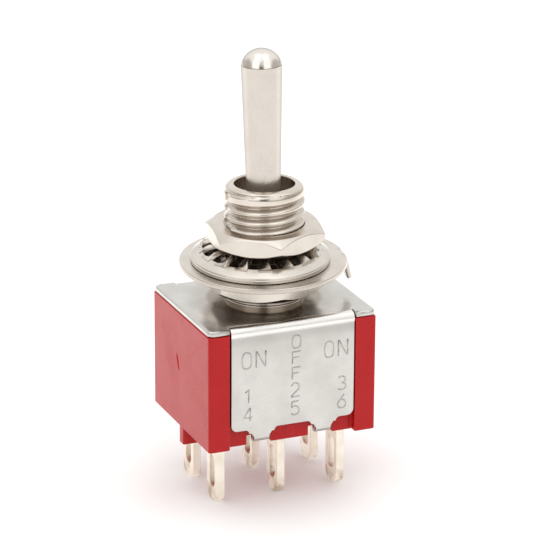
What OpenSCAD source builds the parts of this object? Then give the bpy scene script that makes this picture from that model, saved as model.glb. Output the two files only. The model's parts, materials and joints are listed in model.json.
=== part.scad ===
// Miniature panel toggle switch, double pole, centre off, with solder lugs.
// Millimetres. The origin is on the bushing's axis, on the top face of the
// steel cover. +Z points out of the panel, and the lever swings along X.

/* [Case] */
// Width of the case, along the lever's swing
case_w = 13.2; // [13:0.1:15]
// Depth of the case over the two cover flaps
case_d = 11.2; // [11:0.1:12.5]
// Height from the cover's top face to the case's lower edge
case_h = 9.4; // [9.4:0.1:11]
// Width of each corner post
post_w = 1.65; // [1.3:0.05:1.9]
// Depth of the front and back recesses that the flaps lie in
flap_recess = 0.6; // [0.5:0.05:0.7]
// Thickness of the case's end walls
end_wall = 1.0; // [0.8:0.05:1.2]
// Thickness of the front and back walls beside the carrier
side_wall = 0.8; // [0.7:0.05:0.9]
// Width of the ledge that the carrier slides on
ledge_w = 0.5; // [0.4:0.05:0.6]
// Thickness of the floor that holds the terminals
floor_t = 1.7; // [1.4:0.1:2]
// Height of the open skirt under the floor
skirt_h = 0.7; // [0.6:0.05:1]
// Thickness of the barrier between the two rows of terminals
barrier_w = 0.75; // [0.6:0.05:1]
// Drop of that barrier below the case's lower edge
barrier_drop = 1.3; // [0.6:0.1:2]
// Thickness of the partition between the two poles
partition_t = 0.8; // [0.6:0.05:1]

/* [Cover frame] */
// Thickness of the steel sheet
sheet_t = 0.4; // [0.3:0.05:0.45]
// Outer radius of the bend between the top and each flap
bend_r = 0.7; // [0.6:0.05:0.9]
// Length of each flap, from the cover's top face to its lower edge
flap_len = 8.0; // [7.4:0.1:8.1]
// Corner radius of the cover's top and of the flaps
cover_corner_r = 0.5; // [0.3:0.05:0.7]
// Distance of each clinch tab from the middle of its flap
tab_x = 2.45; // [2:0.05:2.8]
// Width of a clinch tab where it leaves the flap
tab_root_w = 2.0; // [1.8:0.05:2.2]
// Width of a clinch tab at its lower end
tab_end_w = 1.2; // [1:0.05:1.4]

/* [Bushing] */
// Major diameter of the mounting thread
thread_d = 5.9; // [5.8:0.05:6.35]
// Core diameter of the mounting thread
core_d = 5.2; // [5.15:0.05:5.3]
// Height of the bushing above the cover
bushing_h = 8.85; // [8.5:0.05:11]
// Height of the plain neck under the thread
neck_h = 0.8; // [0.5:0.05:0.9]
// Diameter of the bushing's mouth
mouth_d = 4.44; // [4.4:0.02:4.7]
// Radius of the rounded rim at the mouth
rim_r = 0.5; // [0.3:0.05:0.6]
// Diameter of the riveted rim under the cover
stake_d = 5.8; // [5.6:0.1:6.2]
// Thickness of the riveted rim under the cover
stake_t = 0.35; // [0.25:0.05:0.4]
// Width of the keyway down the thread
keyway_w = 0.9; // [0.8:0.05:1.1]

/* [Lever] */
// Height of the lever's top above the cover
lever_h = 19.0; // [17:0.25:22]
// Diameter of the bat at its thick upper end
bat_d = 3.0; // [2.7:0.05:3.2]
// Diameter of the bat where it enters the bushing
bat_root_d = 2.54; // [2.2:0.02:2.56]
// Radius of the domed top
dome_r = 1.55; // [1.55:0.05:2]
// Height of the pivot above the cover
pivot_h = 4.8; // [4.7:0.05:4.85]
// Swing of the lever each way from the centre
swing = 12; // [9:0.5:12.5]
// Diameter of the pivot ball
ball_d = 3.6; // [3.5:0.02:3.64]
// Length of the lower arm, from the pivot to the middle of its tip
arm_len = 7.4; // [7.3:0.05:7.5]
// Diameter of the lower arm's round tip
tip_d = 1.6; // [1.4:0.05:1.7]
// Diameter of the two pivot ears
ear_d = 0.9; // [0.7:0.05:1]
// Length over the two pivot ears
ear_span = 4.5; // [4.4:0.05:4.6]

/* [Nuts and washers] */
// Width across flats of both nuts
nut_af = 8.0; // [7.8:0.1:9]
// Thickness of the lower nut
lower_nut_t = 1.6; // [1.4:0.05:1.6]
// Thickness of the upper nut
upper_nut_t = 1.45; // [1.3:0.05:1.7]
// Outer diameter of the keyed washer
keyed_d = 12.6; // [12:0.1:13.5]
// Thickness of the keyed washer
keyed_t = 0.38; // [0.3:0.02:0.5]
// Width of the keyed washer's locating tab
locator_w = 0.9; // [0.8:0.05:1.3]
// Length of the locating tab below the washer
locator_drop = 1.25; // [1:0.05:1.3]
// Outward lean of the locating tab
locator_lean = 12; // [0:1:20]
// Turn of the locating tab toward the front, away from the line of the key
locator_turn = 8; // [0:1:15]
// Outer diameter of the toothed lock washer
lock_d = 10.3; // [10:0.1:11]
// Sheet thickness of the lock washer
lock_t = 0.36; // [0.3:0.02:0.4]
// Number of teeth on the lock washer
lock_teeth = 16; // [14:1:17]
// Twist of each lock washer tooth
tooth_twist = 34; // [25:1:36]

/* [Contacts] */
// Width of a terminal blade
blade_w = 2.0; // [1.8:0.05:2.1]
// Thickness of a terminal blade
blade_t = 0.65; // [0.6:0.05:0.8]
// Length of a blade below the case's lower edge
blade_len = 5.1; // [4:0.1:7]
// Width of the wire slot in a blade
eye_w = 1.05; // [0.8:0.05:1.1]
// Length of the wire slot in a blade
eye_len = 2.5; // [1.6:0.1:2.8]
// Thickness of the rocking contact strip
rocker_t = 0.5; // [0.4:0.05:0.55]
// Width of the rocking contact strip
rocker_w = 2.1; // [1.9:0.05:2.1]
// Tilt of the rocking contact each way
rocker_tilt = 7; // [6:0.25:7.5]

/* [Carrier and plungers] */
// Length of the carrier along its slide
carrier_l = 5.0; // [4.8:0.1:6]
// Diameter of the plunger's head
plunger_d = 1.6; // [1.5:0.05:1.65]
// Diameter of the plunger's nose
nose_d = 1.1; // [1:0.05:1.2]
// Wire diameter of the plunger spring
wire_d = 0.14; // [0.1:0.01:0.16]
// Working turns of the plunger spring
spring_turns = 5; // [4:1:6]

/* [Fits] */
// Gap between the cover and the case
cover_gap = 0.08; // [0.05:0.01:0.12]
// Gap between a flap and the posts beside it
flap_gap = 0.1; // [0.05:0.01:0.15]
// Radial gap of pieces that turn or slide in each other
run_gap = 0.05; // [0.03:0.01:0.08]
// Radial gap of the nuts on the thread's core
thread_gap = 0.03; // [0.02:0.01:0.05]
// Gap left where one piece sits on another
seat_gap = 0.03; // [0.02:0.01:0.05]
// Gap between an end terminal and the end wall
blade_wall_gap = 0.475; // [0.425:0.025:0.575]
// Gap between a rocking contact and the ledge beside it
rocker_wall_gap = 0.25; // [0.2:0.05:0.3]
// Side play of the lock washer, taken up toward the keyway
lock_play = 0.22; // [0:0.02:0.28]

/* [Hidden] */
$fn = 64;
EPS = 0.01;                       // overrun of cuts, so that no skin is left

// Levels of the case, from the cover down
case_top_z = -(sheet_t + cover_gap);
case_low_z = -case_h;
floor_low_z = case_low_z + skirt_h;
floor_top_z = floor_low_z + floor_t;
recess_w = case_w - 2 * post_w;
recess_y = case_d / 2 - flap_recess;
cavity_x = case_w / 2 - end_wall;
cavity_y = recess_y - side_wall;
ledge_y = cavity_y - ledge_w;
post_corner_r = 0.2;
rib_w = 0.65;
rib_out = 0.17;
rib_lift = 0.35;                  // from the case's lower edge up to the rib
notch_side = 0.35;                // room beside a clinch tab
flap_w = recess_w - 2 * flap_gap;

// Clinch tabs, bent in under the floor's edge
hook_r = sheet_t + 0.1;           // outer radius of the bend
hook_top_z = floor_low_z;
hook_low_z = hook_top_z - sheet_t;
hook_bend_z = hook_low_z + hook_r;

// Bushing and lever
core_r = core_d / 2;
thread_r = thread_d / 2;
ball_r = ball_d / 2;
socket_r = ball_r + 2 * run_gap;
seat_angle = 35;
seat_r = ball_r - 0.25;
seat_reach = ball_r + run_gap;
seat_low_z = pivot_h + (seat_reach - socket_r * cos(seat_angle)) / sin(seat_angle);
seat_top_z = pivot_h + (seat_reach - seat_r * cos(seat_angle)) / sin(seat_angle);
throat_h = 0.15;
mouth_low_z = seat_top_z + throat_h + 1.05;
spigot_r = core_r - run_gap;
stake_low_z = -(sheet_t + seat_gap + stake_t);
arm_top_r = 0.85;
arm_low_r = 0.55;
tip_z = pivot_h - arm_len;

// Nuts and washers, stacked up from the neck
lower_nut_z = neck_h + seat_gap;
keyed_z = lower_nut_z + lower_nut_t + seat_gap;
lock_z = keyed_z + keyed_t + seat_gap;
lock_r = lock_d / 2;
lock_rim_w = 0.8;
lock_rise = 0.4;                  // the rim's rise from its edge to the teeth
tooth_w = 1.0;
tooth_len = 1.4;
tooth_root = 0.3;                 // part of a tooth that lies in the rim
tooth_lean = 12;
tooth_mid_r = lock_r - lock_rim_w + tooth_root - tooth_len / 2;
tooth_half_h = (tooth_w * sin(tooth_twist) + lock_t * cos(tooth_twist)) / 2
    + tooth_len / 2 * sin(tooth_lean);
tooth_mid_z = lock_z + tooth_half_h + 0.2;
upper_nut_z = tooth_mid_z + tooth_half_h + seat_gap;
upper_nut_top_z = upper_nut_z + upper_nut_t;
free_thread_z = upper_nut_top_z + seat_gap;
nut_bore_r = core_r + thread_gap;
washer_bore_r = thread_r + 0.1;
lower_nut_turn = 25;
upper_nut_turn = 23;
tooth_phase = 4;

// Carrier, plungers and rocking contacts
carrier_top_z = stake_low_z - 0.22;
tower_h = 0.4;
ledge_z = tip_z - tip_d / 2 - 0.5;
carrier_low_z = ledge_z + run_gap;
carrier_y = cavity_y - 2 * run_gap;
pocket_r = tip_d / 2 + run_gap;
bore_r = plunger_d / 2 + 2 * run_gap;
bore_top_z = carrier_top_z - 0.25;
tower_r = bore_r + 0.35;
boss_r = 0.4;
boss_h = 0.3;
pole_y = ledge_y - rocker_w / 2 - rocker_wall_gap;
throw_x = cavity_x - blade_t / 2 - blade_wall_gap;
edge_r = blade_t / 2;             // rounded top edge that the contact rocks on
rocker_sit = edge_r + seat_gap;   // from the pivot up to the strip's underside
rocker_top = rocker_sit + rocker_t;
rocker_pivot_z = floor_top_z + 0.9;
contact_room_h = 1.7;             // open height over the pivots
rocker_reach = throw_x - 0.9;
trough_r = 5.65;
trough_half = 1.9;
waist_half = 0.6;
waist_w = 1.3;
bump_r = 0.4;
bump_x = rocker_reach - bump_r - 0.05;
bump_low = 0.1;                   // level of a bump's face above the pivot
pad_side = 0.1;                   // part of a pad that lies inside its bump
pad_top_z = rocker_pivot_z - bump_x * sin(rocker_tilt) + bump_low * cos(rocker_tilt) - seat_gap;
nose_z = rocker_pivot_z + rocker_top + run_gap;
head_low_z = carrier_low_z + 0.1;
head_top_z = head_low_z + 0.8;
blade_tip_z = case_low_z - blade_len;
blade_tip_r = 0.85;
eye_low_z = blade_tip_z + 1.1;
slot_gap = 0.03;

// ---------------------------------------------------------------- helpers

// A flat plate outline with round corners, centred
module rounded_rect(w, d, r) {
    square([w - 2 * r, d], center = true);
    square([w, d - 2 * r], center = true);
    for (x = [-1, 1], y = [-1, 1])
        translate([x * (w / 2 - r), y * (d / 2 - r)]) circle(r);
}

// A block between two corners
module block(low, high) {
    translate(low) cube(high - low);
}

// Stands an outline drawn in Y and Z upright and gives it a thickness along X
module along_x(t) {
    rotate([90, 0, 90]) linear_extrude(t, center = true) children();
}

// Stands an outline drawn in X and Z upright and gives it a thickness along Y
module along_y(t) {
    rotate([90, 0, 0]) linear_extrude(t, center = true) children();
}

// ---------------------------------------------------------------- case

// Outline of the case, with the two recesses that take the flaps
module case_outline() {
    difference() {
        rounded_rect(case_w, case_d, post_corner_r);
        for (side = [-1, 1])
            translate([0, side * case_d / 2])
                square([recess_w, 2 * flap_recess], center = true);
    }
}

// Upper room for the carrier, and one lower room for each pole's contact
module case_rooms() {
    block([-cavity_x, -cavity_y, ledge_z], [cavity_x, cavity_y, 0]);
    for (side = [-1, 1])
        to_side(side)
            block([-cavity_x, partition_t / 2, floor_top_z], [cavity_x, ledge_y, 0]);
    block([-cavity_x, -ledge_y, rocker_pivot_z + contact_room_h], [cavity_x, ledge_y, 0]);
}

// Mirrors to the back (side = 1) or the front (side = -1)
module to_side(side) {
    mirror([0, side < 0 ? 1 : 0, 0]) children();
}

// Open space under the floor, on both sides of the barrier
module case_skirt_room() {
    for (side = [-1, 1])
        to_side(side)
            block([-cavity_x, barrier_w / 2, case_low_z - EPS],
                  [cavity_x, cavity_y, floor_low_z]);
}

// Notches in the skirt that the clinch tabs hook into
module tab_notches() {
    notch_half = tab_end_w / 2 + notch_side;
    for (x = [-tab_x, tab_x], side = [-1, 1])
        translate([x, 0, 0])
            to_side(side)
                block([-notch_half, cavity_y - 2 * EPS, case_low_z - EPS],
                      [notch_half, case_d / 2, hook_top_z + seat_gap]);
}

// Sprue scar on the left end wall: a groove around the broken-off stub
module gate_scar() {
    scar_y = 0.6;
    scar_z = case_low_z / 2 + 0.3;
    depth = 0.12;
    translate([-case_w / 2, scar_y, scar_z]) along_x(2 * depth) difference() {
        rounded_rect(0.9, 1.5, 0.44);
        rounded_rect(0.4, 0.9, 0.19);
    }
}

module case() {
    color([0.78, 0.13, 0.15]) difference() {
        union() {
            translate([0, 0, case_low_z]) linear_extrude(case_top_z - case_low_z)
                case_outline();
            block([-case_w / 2, -barrier_w / 2, case_low_z - barrier_drop],
                  [case_w / 2, barrier_w / 2, floor_low_z + EPS]);
            // short stiffening rib between the two tabs, front and back
            for (side = [-1, 1])
                to_side(side)
                    block([-rib_w / 2, recess_y - EPS, case_low_z + rib_lift],
                          [rib_w / 2, recess_y + rib_out, -flap_len - flap_gap]);
        }
        case_rooms();
        case_skirt_room();
        tab_notches();
        gate_scar();
        for (x = [-1, 0, 1], side = [-1, 1])
            translate([x * throw_x, side * pole_y, 0])
                block([-blade_t / 2 - slot_gap, -blade_w / 2 - slot_gap, floor_low_z - EPS],
                      [blade_t / 2 + slot_gap, blade_w / 2 + slot_gap, floor_top_z + EPS]);
    }
}

// ---------------------------------------------------------------- cover frame

// The folded sheet seen from its end: a top with two flaps
module fold_profile() {
    inner_r = bend_r - sheet_t;
    difference() {
        translate([0, hook_bend_z / 2 - bend_r])
            rounded_rect(case_d, -hook_bend_z + 2 * bend_r, bend_r);
        translate([0, hook_bend_z / 2 - bend_r])
            rounded_rect(case_d - 2 * sheet_t, -hook_bend_z + 2 * bend_r - 2 * sheet_t, inner_r);
    }
}

// Outline of a flap and its two clinch tabs, drawn from the top face down
module flap_outline() {
    straight = flap_len - cover_corner_r;
    translate([-flap_w / 2, -straight]) square([flap_w, straight]);
    translate([0, -flap_len / 2 - cover_corner_r])
        rounded_rect(flap_w, flap_len - 2 * cover_corner_r, cover_corner_r);
    for (x = [-tab_x, tab_x])
        translate([x, 0]) clinch_tab_outline();
}

// A tab that tapers to its lower end, with a fillet at each side of its root
module clinch_tab_outline() {
    fillet = 0.3;
    half = tab_root_w / 2;
    difference() {
        translate([-half - fillet, -flap_len - fillet])
            square([2 * (half + fillet), fillet + EPS]);
        for (s = [-1, 1])
            translate([s * (half + fillet), -flap_len - fillet]) circle(fillet);
    }
    polygon([[-half, -flap_len + EPS], [half, -flap_len + EPS],
             [tab_end_w / 2, hook_bend_z], [-tab_end_w / 2, hook_bend_z]]);
}

// The end of a clinch tab, bent in under the skirt
module tab_hook() {
    lip = 0.25;
    translate([0, case_d / 2 - hook_r, hook_bend_z]) rotate([0, -90, 0])
        rotate([0, 0, 180]) rotate_extrude(angle = -90)
            translate([hook_r - sheet_t, -tab_end_w / 2]) square([sheet_t, tab_end_w]);
    block([-tab_end_w / 2, case_d / 2 - hook_r - lip, hook_low_z],
          [tab_end_w / 2, case_d / 2 - hook_r, hook_low_z + sheet_t]);
}

module cover_frame() {
    relief = 0.15;
    color([0.74, 0.73, 0.72]) difference() {
        union() {
            intersection() {
                along_x(flap_w) fold_profile();
                along_y(2 * case_d) flap_outline();
            }
            translate([0, 0, -sheet_t]) linear_extrude(sheet_t) difference() {
                rounded_rect(case_w, case_d, cover_corner_r);
                for (side = [-1, 1])
                    translate([0, side * case_d / 2])
                        square([flap_w + 2 * relief, 2 * bend_r], center = true);
            }
            for (x = [-tab_x, tab_x], side = [-1, 1])
                translate([x, 0, 0]) to_side(side) tab_hook();
        }
        translate([0, 0, -sheet_t - EPS])
            cylinder(r = spigot_r + run_gap, h = sheet_t + 2 * EPS);
    }
}

// ---------------------------------------------------------------- bushing

// Half section of the bushing, from its riveted rim up to its mouth
module bushing_section() {
    difference() {
        union() {
            translate([0, stake_low_z]) square([stake_d / 2, stake_t]);
            translate([0, stake_low_z]) square([spigot_r, -stake_low_z + EPS]);
            square([thread_r, neck_h]);
            translate([0, neck_h - EPS]) square([core_r, free_thread_z - neck_h + 2 * EPS]);
            translate([0, free_thread_z])
                square([thread_r, bushing_h - rim_r - free_thread_z]);
            translate([0, free_thread_z])
                square([thread_r - rim_r, bushing_h - free_thread_z]);
            translate([thread_r - rim_r, bushing_h - rim_r]) circle(rim_r);
        }
        polygon([[0, stake_low_z - EPS], [socket_r, stake_low_z - EPS],
                 [socket_r, seat_low_z], [seat_r, seat_top_z],
                 [seat_r, seat_top_z + throat_h], [mouth_d / 2, mouth_low_z],
                 [mouth_d / 2, bushing_h + EPS], [0, bushing_h + EPS]]);
    }
}

// Slots up the inside of the bushing that keep the lever from turning
module ear_slots() {
    half_w = ear_d / 2 + run_gap;
    half_l = ear_span / 2 + run_gap;
    block([-half_w, -half_l, stake_low_z - EPS], [half_w, half_l, pivot_h]);
    translate([0, 0, pivot_h]) rotate([90, 0, 0])
        cylinder(r = half_w, h = 2 * half_l, center = true);
}

module bushing() {
    color([0.80, 0.77, 0.73]) difference() {
        rotate_extrude() bushing_section();
        ear_slots();
        block([-thread_r - 1, -keyway_w / 2, -EPS], [-core_r, keyway_w / 2, bushing_h + EPS]);
    }
}

// ---------------------------------------------------------------- lever

// Half section of the lever: domed bat, pivot ball, lower arm and round tip
module lever_section() {
    intersection() {
        translate([0, tip_z - tip_d]) square([2 * bat_d, lever_h - tip_z + 2 * tip_d]);
        union() {
            bat_half = bat_d / 2;
            dome_mid_z = lever_h - dome_r;
            bat_top_z = dome_mid_z + sqrt(dome_r * dome_r - bat_half * bat_half);
            neck_r = bat_root_d / 2 - 0.12;
            polygon([[0, pivot_h], [neck_r, pivot_h], [neck_r, pivot_h + ball_r * 0.9],
                     [bat_root_d / 2, bushing_h], [bat_half, bat_top_z], [0, bat_top_z]]);
            intersection() {
                translate([0, dome_mid_z]) circle(dome_r);
                translate([0, bat_top_z - EPS]) square([bat_half, dome_r]);
            }
            translate([0, pivot_h]) circle(ball_r);
            polygon([[0, pivot_h], [arm_top_r, pivot_h], [arm_top_r, pivot_h - ball_r],
                     [arm_low_r, tip_z], [0, tip_z]]);
            translate([0, tip_z]) circle(tip_d / 2);
        }
    }
}

module lever() {
    color([0.84, 0.81, 0.78]) {
        rotate_extrude() lever_section();
        translate([0, 0, pivot_h]) rotate([90, 0, 0])
            cylinder(r = ear_d / 2, h = ear_span, center = true);
    }
}

// ---------------------------------------------------------------- nuts and washers

// A thin hexagon nut, chamfered on both faces and countersunk for its thread
module thin_nut(t) {
    chamfer_angle = 28;
    face_inset = 0.15;
    sink = 0.35;
    corner_r = nut_af / 2 / cos(30);
    flat_r = nut_af / 2 - face_inset;
    drop = (corner_r - flat_r) * tan(chamfer_angle);
    intersection() {
        cylinder(r = corner_r, h = t, $fn = 6);
        rotate_extrude() polygon([
            [nut_bore_r + sink, 0], [flat_r, 0], [corner_r, drop], [corner_r, t - drop],
            [flat_r, t], [nut_bore_r + sink, t], [nut_bore_r, t - sink], [nut_bore_r, sink]]);
    }
}

module upper_nut() {
    color([0.82, 0.79, 0.75])
        translate([0, 0, upper_nut_z]) rotate([0, 0, upper_nut_turn]) thin_nut(upper_nut_t);
}

module lower_nut() {
    color([0.80, 0.77, 0.73])
        translate([0, 0, lower_nut_z]) rotate([0, 0, lower_nut_turn]) thin_nut(lower_nut_t);
}

// Dished ring with twisted teeth inside
module lock_washer() {
    rim_in_r = lock_r - lock_rim_w;
    color([0.83, 0.81, 0.78]) translate([-lock_play, 0, 0]) union() {
        rotate_extrude() polygon([
            [lock_r, lock_z], [lock_r, lock_z + lock_t],
            [rim_in_r, lock_z + lock_t + lock_rise], [rim_in_r, lock_z + lock_rise]]);
        for (i = [0 : lock_teeth - 1])
            rotate([0, 0, tooth_phase + i * 360 / lock_teeth])
                translate([tooth_mid_r, 0, tooth_mid_z])
                    rotate([0, tooth_lean, 0]) rotate([tooth_twist, 0, 0])
                        cube([tooth_len, tooth_w, lock_t], center = true);
    }
}

// Flat ring with a key inside and a locating tab bent down at its edge
module keyed_washer() {
    r = keyed_d / 2;
    key_half = keyway_w / 2 - run_gap;
    key_root = 0.2;
    bend = keyed_t + 0.12;                  // outer radius of the tab's bend
    bend_mid_r = r + 0.15 - bend;
    relief = 0.2;                           // notch on each side of the tab
    color([0.82, 0.79, 0.76]) union() {
        translate([0, 0, keyed_z]) {
            difference() {
                cylinder(r = r, h = keyed_t);
                translate([0, 0, -EPS]) cylinder(r = washer_bore_r, h = keyed_t + 2 * EPS);
                rotate([0, 0, -locator_turn])
                    block([bend_mid_r, -locator_w / 2 - relief, -EPS],
                          [r + 1, locator_w / 2 + relief, keyed_t + EPS]);
            }
            block([-washer_bore_r - key_root, -key_half, 0],
                  [-core_r - 2 * run_gap, key_half, keyed_t]);
        }
        // the tab: a round bend, then a straight leg that leans outwards
        rotate([0, 0, -locator_turn])
            translate([bend_mid_r, 0, keyed_z + keyed_t - bend]) {
                rotate([90, 0, 0])
                    rotate_extrude(angle = 90 - locator_lean + EPS, start = locator_lean)
                        translate([bend - keyed_t, -locator_w / 2]) square([keyed_t, locator_w]);
                block([-EPS, -locator_w / 2, bend - keyed_t],
                      [EPS, locator_w / 2, bend]);
                rotate([0, -locator_lean, 0])
                    block([bend - keyed_t, -locator_w / 2, -locator_drop],
                          [bend, locator_w / 2, EPS]);
            }
    }
}

// ---------------------------------------------------------------- carrier and plungers

// Nylon block that the lever's tip pushes along, with a bore for each plunger
module actuator_carrier() {
    color([0.90, 0.89, 0.86]) difference() {
        union() {
            block([-carrier_l / 2, -carrier_y, carrier_low_z],
                  [carrier_l / 2, carrier_y, carrier_top_z - tower_h]);
            for (side = [-1, 1])
                translate([0, side * pole_y, carrier_top_z - tower_h - EPS])
                    cylinder(r = tower_r, h = tower_h + EPS);
        }
        // pocket for the tip, flared so that the arm can lean
        rotate_extrude() polygon([
            [0, carrier_top_z + EPS], [pocket_r + 0.3, carrier_top_z + EPS],
            [pocket_r, tip_z + 0.3], [pocket_r, tip_z - tip_d / 2 - run_gap],
            [0, tip_z - tip_d / 2 - run_gap]]);
        for (side = [-1, 1])
            translate([0, side * pole_y, carrier_low_z - EPS])
                cylinder(r = bore_r, h = bore_top_z - carrier_low_z + EPS);
    }
}

// Headed pin with a round nose and a boss that centres its spring
module plunger(side) {
    translate([0, side * pole_y, 0]) rotate_extrude() intersection() {
        translate([0, nose_z]) square([plunger_d, head_top_z - nose_z + boss_h]);
        union() {
            translate([0, head_low_z]) square([plunger_d / 2, head_top_z - head_low_z]);
            translate([0, head_top_z - EPS]) square([boss_r, boss_h]);
            translate([0, nose_z + nose_d / 2])
                square([nose_d / 2, head_low_z - nose_z - nose_d / 2 + EPS]);
            translate([0, nose_z + nose_d / 2]) circle(nose_d / 2);
        }
    }
}

module plunger_front() {
    color([0.16, 0.15, 0.15]) plunger(-1);
}

module plunger_rear() {
    color([0.16, 0.15, 0.15]) plunger(1);
}

// A coil of round wire: a helix with one closed turn at each end
module coil(mid_r, wire_r, low_z, high_z, turns) {
    steps = 20;
    sides = 8;
    rings = steps * (turns + 2);
    closed_rise = 2 * wire_r + 0.02;
    open_rise = high_z - low_z - 2 * wire_r - 2 * closed_rise;
    function level(t) = low_z + wire_r + closed_rise * min(t, 1)
        + open_rise * max(0, min(1, (t - 1) / turns))
        + closed_rise * max(0, t - 1 - turns);
    points = [for (k = [0 : rings], s = [0 : sides - 1])
        let (a = 360 * k / steps, b = 360 * s / sides, r = mid_r + wire_r * cos(b))
        [r * cos(a), r * sin(a), level(k / steps) + wire_r * sin(b)]];
    faces = concat(
        [[for (s = [0 : sides - 1]) s]],
        [for (k = [0 : rings - 1], s = [0 : sides - 1])
            let (n = (s + 1) % sides)
            [k * sides + s, (k + 1) * sides + s, (k + 1) * sides + n, k * sides + n]],
        [[for (s = [sides - 1 : -1 : 0]) rings * sides + s]]);
    polyhedron(points, faces, convexity = 8);
}

module plunger_spring(side) {
    translate([0, side * pole_y, 0])
        coil((boss_r + bore_r) / 2, wire_d / 2, head_top_z + seat_gap,
             bore_top_z - seat_gap, spring_turns);
}

module spring_front() {
    color([0.70, 0.70, 0.72]) plunger_spring(-1);
}

module spring_rear() {
    color([0.70, 0.70, 0.72]) plunger_spring(1);
}

// ---------------------------------------------------------------- rocking contacts

// Side outline of the strip, drawn from its pivot: a trough between two wings
module rocker_outline() {
    hump = rocker_top + trough_r - sqrt(trough_r * trough_r - trough_half * trough_half);
    crest = trough_half + 0.1;
    end_top = bump_low + rocker_t + 0.15;
    difference() {
        polygon([[-crest, hump], [-rocker_reach, end_top],
                 [-rocker_reach, end_top - rocker_t], [-crest, hump - rocker_t],
                 [-waist_half - 0.1, rocker_sit], [waist_half + 0.1, rocker_sit],
                 [crest, hump - rocker_t], [rocker_reach, end_top - rocker_t],
                 [rocker_reach, end_top], [crest, hump]]);
        translate([0, rocker_top + trough_r]) circle(trough_r, $fn = 180);
    }
}

// Contact strip, waisted at its pivot, with a round contact at each end
module rocker(side) {
    translate([0, side * pole_y, rocker_pivot_z]) {
        difference() {
            along_y(rocker_w) rocker_outline();
            for (s = [-1, 1])
                to_side(s) block([-waist_half, waist_w / 2, 0],
                                 [waist_half, rocker_w, rocker_top + 1]);
        }
        for (x = [-bump_x, bump_x])
            translate([x, 0, bump_low]) cylinder(r = bump_r, h = 0.4);
    }
}

module rocker_front() {
    color([0.83, 0.80, 0.72]) rocker(-1);
}

module rocker_rear() {
    color([0.83, 0.80, 0.72]) rocker(1);
}

// ---------------------------------------------------------------- terminals

// Outline of a lug below the given level: round end and an oblong wire slot
module lug_outline(top_z) {
    half = blade_w / 2;
    eye_r = eye_w / 2;
    difference() {
        union() {
            translate([-half, blade_tip_z + blade_tip_r])
                square([blade_w, top_z - blade_tip_z - blade_tip_r]);
            translate([-half + blade_tip_r, blade_tip_z])
                square([blade_w - 2 * blade_tip_r, blade_tip_r + EPS]);
            for (s = [-1, 1])
                translate([s * (half - blade_tip_r), blade_tip_z + blade_tip_r])
                    circle(blade_tip_r);
        }
        translate([-eye_r, eye_low_z + eye_r]) square([eye_w, eye_len - eye_w]);
        for (z = [eye_low_z + eye_r, eye_low_z + eye_len - eye_r])
            translate([0, z]) circle(eye_r);
    }
}

// Middle terminal: its rounded top edge carries the contact between two ears
module common_terminal(side) {
    shoulder_half = (rocker_w + run_gap) / 2 + EPS;
    ear_low = waist_w / 2 + 1.5 * run_gap;
    ear_h = 1.2;
    shoulder_z = floor_top_z + seat_gap;
    translate([0, side * pole_y, 0]) {
        along_x(blade_t) {
            lug_outline(shoulder_z + EPS);
            translate([-shoulder_half, shoulder_z])
                square([2 * shoulder_half, rocker_pivot_z - shoulder_z]);
            for (s = [-1, 1])
                translate([s * (ear_low + shoulder_half) / 2, rocker_pivot_z + ear_h / 2 - 0.1])
                    square([shoulder_half - ear_low, ear_h], center = true);
        }
        translate([0, 0, rocker_pivot_z]) rotate([90, 0, 0])
            cylinder(r = edge_r, h = 2 * ear_low + EPS, center = true);
    }
}

// End terminal: a lug with a contact pad folded in over the floor
module end_terminal(side, end) {
    pad_in = bump_x - bump_r - pad_side;
    translate([0, side * pole_y, 0]) mirror([end < 0 ? 1 : 0, 0, 0]) {
        translate([throw_x, 0, 0]) along_x(blade_t) lug_outline(floor_top_z + 2 * seat_gap);
        block([pad_in, -blade_w / 2, floor_top_z + seat_gap],
              [throw_x + blade_t / 2, blade_w / 2, pad_top_z]);
    }
}

TERMINAL = [0.86, 0.83, 0.78];

module terminal_front_left() {
    color(TERMINAL) end_terminal(-1, -1);
}

module terminal_front_common() {
    color(TERMINAL) common_terminal(-1);
}

module terminal_front_right() {
    color(TERMINAL) end_terminal(-1, 1);
}

module terminal_rear_left() {
    color(TERMINAL) end_terminal(1, -1);
}

module terminal_rear_common() {
    color(TERMINAL) common_terminal(1);
}

module terminal_rear_right() {
    color(TERMINAL) end_terminal(1, 1);
}

case();
cover_frame();
bushing();
lever();
upper_nut();
lock_washer();
keyed_washer();
lower_nut();
actuator_carrier();
plunger_front();
plunger_rear();
spring_front();
spring_rear();
rocker_front();
rocker_rear();
terminal_front_left();
terminal_front_common();
terminal_front_right();
terminal_rear_left();
terminal_rear_common();
terminal_rear_right();
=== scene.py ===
# %% [markdown]
# # A panel toggle switch
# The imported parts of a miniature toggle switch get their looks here: crisp
# stamped sheet, a cut thread, twisted washer teeth, and finishes for moulded
# plastic, nickel and silver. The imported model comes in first, because every
# new piece takes its place, its body and its finish slot from it.

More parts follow.
